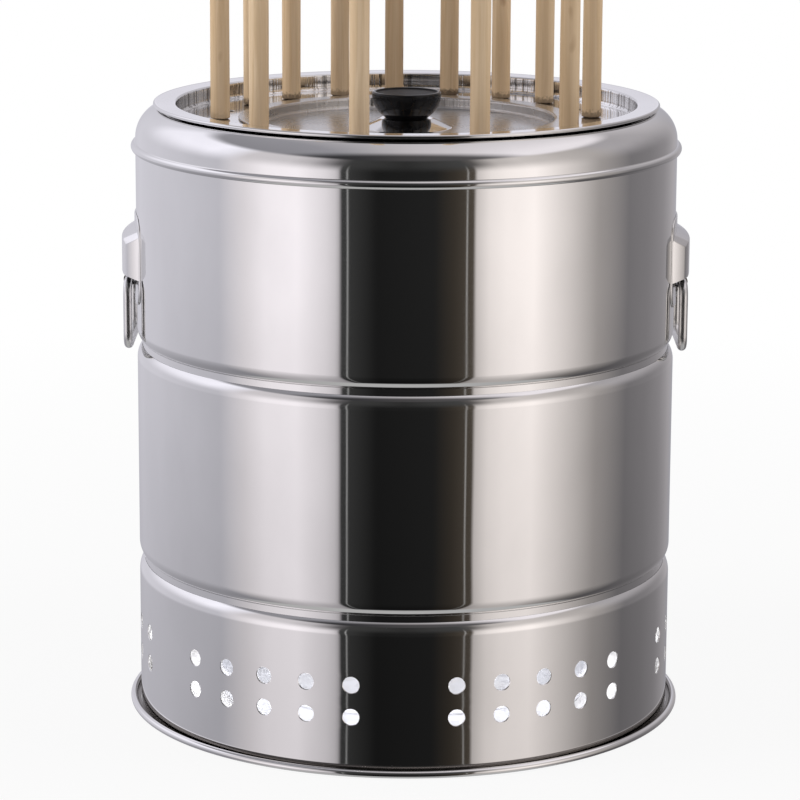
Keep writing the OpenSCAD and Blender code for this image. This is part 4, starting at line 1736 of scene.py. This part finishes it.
@dataclass
class Skewers:
    """Wooden handles on steel needles, one body each."""

    holes: tuple[int, ...] = (0, 2, 4, 6, 8, 9, 10, 11, 12, 13, 14, 16, 18)
    hole_count: int = 20
    phase: float = -14
    circle_r: float = 103
    base_z: float = 332.2
    length: float = 150
    handle_r: float = 5.4
    needle_r: float = 1.7
    tip_z: float = 125.81
    point: float = 9
    tang: float = 40
    tones: tuple[float, ...] = (0.0, 0.15, 0.4, 0.4, 0.3, 0.25, 0.2, 0.25, 0.1, 0.2, 0.25, 0.2, 0.0)
    ease: float = 1.0
    top_ease: float = 2.5
    waist: float = 0.07
    wander: float = 0.06
    wander_range: float = 1.9
    first_wave: float = 1.3
    handle_steps: int = 40
    handle_sides: int = 40
    needle_sides: int = 24
    point_r: float = 0.92
    point_high: float = 0.94
    point_run: float = 0.6
    tang_gap: float = 0.3
    # Shares of the dark foot: charring, with painted shade stronger on the handles behind, whose foot and gap
    # show dark
    char_and_shade_behind: Point2 = (0.5, 0.9)
    char_and_shade_in_front: Point2 = (0, 0.2)
    seed: int = 7

    def _handle(self, dice: random.Random) -> Profile:
        """Dowel whose thickness wanders slightly along its length.

        Args:
            dice: Source of the random draws.

        Returns:
            The profile.
        """
        phases = [dice.uniform(0, math.tau) for _ in range(3)]
        made = [(0.0, 0.0)] + arc((self.handle_r - self.ease, self.ease), self.ease, -90, -10, 6)
        low, high = self.ease, self.length - self.top_ease
        for i in range(self.handle_steps + 1):
            share = i / self.handle_steps
            turn = share * math.tau
            waves = [math.sin(p + turn * (n + self.first_wave)) / (n + 1) for n, p in enumerate(phases)]
            wander = self.wander * sum(waves) / self.wander_range
            made.append((self.handle_r - self.waist + wander, low + (high - low) * share))
        crown = arc((self.handle_r - self.top_ease, high), self.top_ease, 8, 90, 8)
        return made + crown + [(0.0, self.length)]

    def _spin(self, profile: Profile, sides: int, shift: Vector, name: str, finish: Material) -> Piece:
        """Turns a profile about a skewer's own axis.

        Args:
            profile: Radii and heights.
            sides: Number of sides.
            shift: Place of the skewer.
            name: Name of the object.
            finish: Its material.

        Returns:
            The object.
        """
        draft = Draft()
        angles = [math.tau * i / sides for i in range(sides)]
        rows = [[Vector((r * math.cos(a), r * math.sin(a), z)) + shift for r, z in profile] for a in angles]
        draft.grid(rows, close_columns=True)
        return draft.merge().to_object(name, finish)

    def build(self, shop: Workshop) -> None:
        """Makes every skewer.

        Args:
            shop: The workshop.
        """
        dice = random.Random(self.seed)
        top = self.base_z + self.tang - self.tang_gap
        needle = [(0.0, self.tip_z),
                  (self.needle_r * self.point_r, self.tip_z + self.point * self.point_high),
                  (self.needle_r, self.tip_z + self.point + self.point_run), (self.needle_r, top), (0.0, top)]
        for number, hole in enumerate(self.holes, 1):
            shift = around(self.circle_r, self.phase + hole * 360 / self.hole_count, 0)
            handle = self._spin(self._handle(dice), self.handle_sides, shift + Vector((0, 0, self.base_z)),
                                f"skewer_handle_{number}_form", shop.finishes[Slot.WOOD])
            # Dark foot share: charring, with painted shade strongest on the handles behind
            charred_and_shaded = self.char_and_shade_behind if shift.y > 0 else self.char_and_shade_in_front
            mark_all(handle, "tone", self.tones[number - 1])
            mark_all(handle, "char_and_shade", dice.uniform(*charred_and_shaded))
            shop.place(handle, f"skewer_{number}", Slot.WOOD, f"skewer_handle_{number}")
            rod = self._spin(braced(needle, closed=False), self.needle_sides, shift,
                             f"skewer_needle_{number}_form", shop.finishes[Slot.PLAIN])
            shop.place(rod, f"skewer_{number}", Slot.PLAIN, f"skewer_needle_{number}")


@dataclass
class FireBasket:
    """Slotted basket on legs with its grate, rivets, ears and bail."""

    radius: float = 64
    sheet: float = 1
    low: float = 52.3
    height: float = 106
    lip: float = 7
    slots: int = 12
    slot_w: float = 10
    slot_margin: float = 16
    rim: float = 2.0
    fold: float = 1.5
    cell_rows: int = 12
    bail_z: float = 160.1
    bail_r: float = 1.5
    bail_arc: float = 68.9
    bail_bend: float = 3
    bail_pin: float = 61.1
    bail_rest: float = 23.77
    body: str = "fire_basket"

    def _sector(self) -> Draft:
        """One slot's share of the wall and of the lip under the grate.

        Returns:
            The sector's mesh.
        """
        sector = Draft()
        half = 180 / self.slots
        high = self.low + self.height
        inside, edge = self.radius - self.sheet, high - self.rim
        upper = [(self.radius, edge), (self.radius, high), (inside, high), (inside, edge)]
        bottom, lip = self.low + self.fold + self.sheet, self.radius - self.lip
        lower = [(inside, bottom), (inside, self.low + self.sheet), (lip, self.low + self.sheet),
                 (lip, self.low), (self.radius, self.low), (self.radius, bottom)]
        for profile in (upper, lower):
            sector.turned(profile, -half, half, closed=False)
        tall = edge - bottom
        columns = round(2 * half * ROUND_STEPS / 360)
        width, slot_h = math.radians(2 * half) * self.radius, self.height - 2 * self.slot_margin
        cell = HoledCell(width, tall, columns, self.cell_rows, self.slot_w, slot_h)
        middle = bottom + tall / 2

        def place(u: float, v: float, depth: float) -> Vector:
            """Point of the flat cell on the wall."""
            return around(self.radius - depth, math.degrees(u / self.radius), middle + v)

        cell.lay(sector, place, self.sheet)
        return sector

    def _bail_path(self) -> list[Vector]:
        """Centre line of the bail, from one pin over the hoop to the other.

        Returns:
            The points, in millimetres.
        """
        pin = self.bail_arc - self.bail_bend
        flat: Profile = [(self.bail_pin, 0.0), (pin - 0.5, 0.0)]
        flat += arc((pin, self.bail_bend), self.bail_bend, -90, 0, 8)
        flat += arc((0, self.bail_bend), self.bail_arc, 0, 180, 60)[1:-1]
        flat += [(-x, y) for x, y in arc((pin, self.bail_bend), self.bail_bend, 0, -90, 8)]
        flat += [(0.5 - pin, 0.0), (-self.bail_pin, 0.0)]
        tilt = Matrix.Rotation(math.radians(-self.bail_rest), 4, "X")
        return [tilt @ Vector((x, y, 0)) + Vector((0, 0, self.bail_z)) for x, y in flat]

    def build(self, shop: Workshop) -> None:
        """Makes the basket and its bail.

        Args:
            shop: The workshop.
        """
        shop.sectors("basket_wall", self.body, Slot.DARKENED, self._sector(), self.slots, 180 / self.slots)
        for node in ("fire_grate", "basket_legs", "bail_ears"):
            shop.eased_copy(node, self.body, Slot.DARKENED)
        shop.eased_copy("basket_rivets", self.body, Slot.PLAIN)
        shop.bent_wire("basket_bail", "basket_bail", Slot.PLAIN, self._bail_path(), self.bail_r, closed=False)


@dataclass
class TrayAndPan:
    """Drip tray and chimney round the basket, and the ash pan under it."""

    sheet: float = 1
    tray_in: float = 76.5
    tray_r: float = 144
    tray_wall: float = 136
    tray_top: float = 100.81
    tray_floor: float = 86.81
    chimney_top: float = 107.81
    lap: float = 0.1
    corner: float = 4
    pan_r: float = 108
    pan_floor: float = 6.3
    pan_h: float = 17
    pan_rim: float = 1.6
    pan_roll: float = -112

    def _tray(self) -> Profile:
        """Drip tray.

        Returns:
            The closed profile.
        """
        centre = (self.tray_wall - self.corner, self.tray_floor + self.corner)
        s = self.sheet
        inside = self.tray_in + s + self.lap
        return ([(inside, self.tray_floor - s)] + arc(centre, self.corner + s, -90, 0)
                + [(self.tray_wall + s, self.tray_top - s)]
                + arc((self.tray_r - s / 2, self.tray_top - s / 2), s / 2, -90, 90, 8)
                + [(self.tray_wall, self.tray_top)]
                + arc(centre, self.corner, 0, -90) + [(inside, self.tray_floor)])

    def _chimney(self) -> Profile:
        """Short chimney round the basket, round at its upper edge.

        Returns:
            The closed profile.
        """
        edge = self.sheet / 2
        foot = self.tray_floor - self.sheet
        crest = arc((self.tray_in + edge, self.chimney_top - edge), edge, 0, 180, 8)
        return [(self.tray_in, foot), (self.tray_in + self.sheet, foot)] + crest

    def _pan(self) -> Profile:
        """Ash pan with its rolled rim.

        Returns:
            The closed profile.
        """
        under = self.pan_floor - self.sheet
        rim_z = under + self.pan_h - self.pan_rim
        wall = self.pan_r - 2 * self.pan_rim
        corner = 5 * self.sheet
        centre = (wall - corner, under + corner)
        roll = (wall + self.pan_rim - self.sheet, rim_z)
        return ([(0, self.pan_floor), (0, under)] + arc(centre, corner, -90, 0)
                + arc(roll, self.pan_rim, self.pan_roll, 180, 2 * ARC_STEPS)
                + arc(centre, corner - self.sheet, 0, -90))

    def build(self, shop: Workshop) -> None:
        """Makes the tray and the pan.

        Args:
            shop: The workshop.
        """
        shop.turned("drip_tray", "drip_tray", Slot.POLISHED, self._tray())
        shop.turned("tray_chimney", "drip_tray", Slot.POLISHED, self._chimney())
        pan = shop.turned("ash_pan", "ash_pan", Slot.DARKENED, self._pan())
        pan.data.materials[0] = shop.finishes.zinc


# Stage


class Tint(Enum):
    """Tints of the light tent's cloth."""

    NEUTRAL = (1.0, 1.0, 1.0)
    LAVENDER = (0.975, 0.96, 1.05)
    ROSE = (1.02, 0.97, 1.01)
    WARM = (1.06, 0.985, 0.955)
    BROWN = (1.2, 1.0, 0.8)


@dataclass(frozen=True)
class Panel:
    """A place in the light tent, how bright the cloth is there, and its tint."""

    place: float
    level: float
    tint: Tint = Tint.NEUTRAL

    @property
    def colour(self) -> tuple[float, ...]:
        """Colour of the cloth at this place."""
        return (*(self.level * part for part in self.tint.value), 1.0)


def panels(tint: Tint, *pairs: tuple[float, float]) -> tuple[Panel, ...]:
    """Panels of one tint, from pairs of place and level."""
    return tuple(Panel(place, level, tint) for place, level in pairs)


@dataclass
class LightTent:
    """World of the stage: white to the camera, cloth panels to the steel, an even light to the rest.

    A ring of cloth stands low round the object and another higher up, both given by the angle from the
    front (-Y) towards +X. A roof hangs over them, given by X, and the pale floor closes the tent below.
    """

    low_ring: tuple[Panel, ...] = (
        *panels(Tint.LAVENDER, (-180, 0.85), (-175, 0.8), (-171, 0.62), (-154, 0.7), (-129, 0.68)),
        *panels(Tint.LAVENDER, (-100, 0.62), (-85, 0.58)),
        *panels(Tint.ROSE, (-71, 0.8), (-61, 0.99), (-46, 1.05), (-33, 0.8), (-28.3, 0.61)),
        *panels(Tint.NEUTRAL, (-27.3, 0.05), (-12, 0.012), (12, 0.016)),
        *panels(Tint.BROWN, (20, 0.035), (28.5, 0.07)),
        *panels(Tint.WARM, (29.1, 0.6), (35, 0.87), (42, 0.99), (55, 1.06), (71, 0.72), (88, 0.36)),
        *panels(Tint.ROSE, (108, 0.185), (124, 0.22), (140, 0.285), (156, 0.41)),
        *panels(Tint.LAVENDER, (171, 0.44), (175, 0.8), (180, 0.85)),
    )
    high_ring: tuple[Panel, ...] = (
        *panels(Tint.LAVENDER, (-180, 0.6), (-150, 0.75), (-138, 1.0), (-95, 1.1), (-85, 0.95)),
        *panels(Tint.ROSE, (-74, 0.66), (-52, 0.65), (-42, 0.5), (-30, 0.12)),
        *panels(Tint.NEUTRAL, (-25, 0.05), (0, 0.03), (25, 0.06)),
        *panels(Tint.WARM, (30, 0.1), (40, 0.5), (52, 0.62), (65, 0.58), (76, 0.5), (90, 0.45)),
        *panels(Tint.ROSE, (105, 0.42), (120, 0.4), (135, 0.42), (150, 0.5)),
        Panel(180, 0.6, Tint.LAVENDER),
    )
    roof: tuple[Panel, ...] = (
        *panels(Tint.LAVENDER, (-0.75, 0.28), (-0.35, 0.33)),
        *panels(Tint.ROSE, (0, 0.56), (0.3, 0.72), (0.6, 0.92), (0.8, 0.9)),
    )
    seams: tuple[Panel, ...] = (Panel(-24.3, 0.3), Panel(25.5, 0.3))
    seam_half: float = 0.6
    glooms: tuple[Triple, ...] = ((-0.75, -0.1, 0.45), (-0.3, -0.16, 0.2))
    to_high_ring: Point2 = (0, 0.47)
    to_roof: Point2 = (0.62, 0.72)
    to_floor: Point2 = (-0.84, -0.76)
    roof_edge: Point2 = (-0.55, -0.25)
    roof_loss: float = 0.88
    floor: Colour = (0.46, 0.46, 0.46)
    ambient: float = 0.5

    def build(self) -> None:
        """Makes the world."""
        world = bpy.data.worlds.new("light_tent")
        bpy.context.scene.world = world
        world.use_nodes = True
        world.node_tree.nodes.clear()
        wire = Wiring(world.node_tree)
        rays = wire.node("ShaderNodeLightPath").outputs
        cloth = wire.node("ShaderNodeBackground", self._cloth(wire))
        even, white = (wire.node("ShaderNodeBackground", Color=(*WHITE, 1), Strength=strength)
                       for strength in (self.ambient, 1.0))
        lit = wire.node("ShaderNodeMixShader", rays["Is Glossy Ray"], even.outputs[0], cloth.outputs[0])
        clear = wire.maths("MAXIMUM", rays["Is Camera Ray"], rays["Is Transmission Ray"])
        shown = wire.node("ShaderNodeMixShader", clear, lit.outputs[0], white.outputs[0])
        wire.node("ShaderNodeOutputWorld", shown.outputs[0])

    def _ramp(self, wire: Wiring, source: Socket, cloth: Sequence[Panel], reach: float) -> Socket:
        """Colour of a row of panels.

        Args:
            wire: The world's nodes.
            source: Place along the row.
            cloth: The panels.
            reach: The row runs from -reach to reach.

        Returns:
            The colour.
        """
        made = wire.node("ShaderNodeValToRGB", wire.maths("MULTIPLY_ADD", source, 0.5 / reach, 0.5))
        stops = made.color_ramp.elements
        while len(stops) < len(cloth):
            stops.new(0.5)
        for stop, panel in zip(stops, cloth):
            stop.position = 0.5 + 0.5 * panel.place / reach
            stop.color = panel.colour
        return made.outputs["Color"]

    def _cloth(self, wire: Wiring) -> Socket:
        """Colour of the tent in each direction.

        Args:
            wire: The world's nodes.

        Returns:
            The colour.
        """

        def ease(source: Socket, span: Point2, start: float = 0, end: float = 1) -> Socket:
            """Value that runs smoothly from one level to another."""
            return wire.span(source, *span, start, end, "SMOOTHSTEP")

        place = wire.node("ShaderNodeTexCoord").outputs["Generated"]
        way = wire.node("ShaderNodeSeparateXYZ", place).outputs
        turn = wire.maths("ARCTAN2", way["X"], wire.maths("MULTIPLY", way["Y"], -1))
        angle = wire.maths("MULTIPLY", turn, 180 / math.pi)
        low = self._ramp(wire, angle, self.low_ring, 180)
        for seam in self.seams:
            off = wire.maths("ABSOLUTE", wire.maths("SUBTRACT", angle, seam.place))
            low = wire.mix(ease(off, (0, self.seam_half), seam.level, 0), low, WHITE, "ADD")
        for low_z, high_z, loss in self.glooms:
            low = wire.mix(ease(way["Z"], (low_z, high_z), loss, 0), low, BLACK)
        high = self._ramp(wire, angle, self.high_ring, 180)
        ring = wire.mix(ease(way["Z"], self.to_high_ring), low, high)
        sheet = self._ramp(wire, way["X"], self.roof, 1)
        roof = wire.mix(ease(way["Y"], self.roof_edge, self.roof_loss, 0), sheet, BLACK)
        tent = wire.mix(ease(way["Z"], self.to_roof), ring, roof)
        return wire.mix(ease(way["Z"], self.to_floor, 1, 0), tent, self.floor)


@dataclass
class Studio:
    """Floor, light tent, lamps and camera."""

    floor_r: float = 3.0
    floor_drop: float = 0.0002
    floor_colour: Colour = (0.93, 0.93, 0.935)
    floor_rough: float = 0.9
    floor_fade: Point2 = (0.3, 1.1)
    floor_glow: float = 0.88
    lamp_colour: Colour = (1.0, 0.98, 0.96)
    lamp_size: Point2 = (1.0, 1.0)
    left_lamp: Triple = (-1.9, -0.4, 1.0)
    left_watts: float = 18
    right_lamp: Triple = (1.9, -0.3, 1.0)
    right_watts: float = 11
    middle_z: float = 0.25
    vent_lit: tuple[str, ...] = ("vent_band", "base_pan", "ash_pan", "basket_legs", "fire_grate",
                                 "basket_wall")
    vent_colour: Colour = (0.97, 0.97, 1.0)
    vent_z: float = 0.04
    vent_lamp_r: float = 0.138
    vent_lamp_size: Point2 = (0.072, 0.022)
    wall_r: float = 0.15
    wall_lamp_r: float = 0.109
    wall_lamp_size: Point2 = (0.058, 0.022)
    pan_lamp_z: float = 0.0515
    pan_lamp_size: Point2 = (0.2, 0.2)
    vent_lamps: int = 12
    vent_watts: float = 0.026
    wall_watts: float = 0.011
    pan_watts: float = 0.14
    sensor: float = 36
    lens: float = 154.8
    eye: Triple = (-0.0028, -1.895, 0.5885)
    look_down: float = 12.4
    roll: float = 0.28

    def build(self) -> None:
        """Sets the stage."""
        LightTent().build()
        self._floor()
        self._lamps()
        self._camera()
        bpy.context.scene.view_settings.view_transform = "Standard"

    def _floor(self) -> None:
        """Pale floor that keeps the shadow near the barrel and runs out to white."""
        bm = bmesh.new()
        bmesh.ops.create_circle(bm, cap_ends=True, segments=96, radius=self.floor_r)
        floor = linked("floor", filled_mesh("floor", bm))
        floor.location.z = -self.floor_drop
        floor.visible_glossy = False
        shader = Shader("pale_floor")
        shader.constant(Base_Color=(*self.floor_colour, 1), Roughness=self.floor_rough)
        fade = shader.span(shader.length(shader.place), *self.floor_fade, self.floor_glow, 1)
        rays = shader.node("ShaderNodeLightPath").outputs
        share = shader.maths("MULTIPLY", fade, rays["Is Camera Ray"])
        glow = shader.node("ShaderNodeEmission")
        shown = shader.node("ShaderNodeMixShader", share, shader.principled.outputs[0], glow.outputs[0])
        shader.give(shader.tree.nodes["Material Output"].inputs["Surface"], shown.outputs[0])
        floor.data.materials.append(shader.material)

    def _lamp(self, name: str, place: Vector, aim: Vector, size: Point2, watts: float) -> Piece:
        """Adds a soft lamp that doesn't show in the steel.

        Args:
            name: Name of the lamp.
            place: Where it hangs, in metres.
            aim: Point that it faces.
            size: Its width and height.
            watts: Its power.

        Returns:
            The lamp.
        """
        light = bpy.data.lights.new(name, "AREA")
        light.shape = "RECTANGLE"
        light.size, light.size_y = size
        light.energy = watts
        light.color = self.lamp_colour
        lamp = linked(name, light)
        lamp.location = place
        lamp.rotation_mode = "QUATERNION"
        lamp.rotation_quaternion = (aim - place).to_track_quat("-Z", "Y")
        lamp.visible_glossy = False
        lamp.visible_camera = False
        return lamp

    def _lamps(self) -> None:
        """Soft lamps on the left and the right, and the light that comes in by the vents."""
        middle = Vector((0, 0, self.middle_z))
        self._lamp("left", Vector(self.left_lamp), middle, self.lamp_size, self.left_watts)
        self._lamp("right", Vector(self.right_lamp), middle, self.lamp_size, self.right_watts)
        inside = bpy.data.collections.new("lit_through_the_vents")
        for node in self.vent_lit:
            inside.objects.link(bpy.data.objects[f"{node}_form"])
        glow = [self._lamp("pan_glow", Vector((0, 0, self.pan_lamp_z)), Vector((0, 0, 0)), self.pan_lamp_size,
                           self.pan_watts)]
        for number in range(self.vent_lamps):
            turn = number * 360 / self.vent_lamps
            for name, start, end, size, watts in (
                    ("vent_glow", self.vent_lamp_r, 0, self.vent_lamp_size, self.vent_watts),
                    ("wall_glow", self.wall_lamp_r, self.wall_r, self.wall_lamp_size, self.wall_watts)):
                place, aim = around(start, turn, self.vent_z), around(end, turn, self.vent_z)
                glow.append(self._lamp(f"{name}_{number}", place, aim, size, watts))
        for lamp in glow:
            lamp.data.color = self.vent_colour
            lamp.light_linking.receiver_collection = inside

    def _camera(self) -> None:
        """Camera in front, a little above the lid, as in the photograph."""
        data = bpy.data.cameras.new("camera")
        data.sensor_width = self.sensor
        data.lens = self.lens
        camera = linked("camera", data)
        pitch = Matrix.Rotation(math.radians(90 - self.look_down), 4, "X")
        roll = Matrix.Rotation(math.radians(self.roll), 4, "Z")
        camera.matrix_world = Matrix.Translation(self.eye) @ pitch @ roll
        bpy.context.scene.camera = camera


def main() -> None:
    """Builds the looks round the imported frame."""
    logging.basicConfig(level=logging.INFO, format="%(name)s: %(message)s")
    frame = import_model()
    skewers = Skewers()
    shop = Workshop(frame, Finishes(skewers.base_z * MM))
    for assembly in (BarrelShell(), CarryRings(), SkewerLid(), FireHoleCover(), skewers, FireBasket(),
                     TrayAndPan()):
        assembly.build(shop)
    Studio().build()


if __name__ == "__main__":
    main()
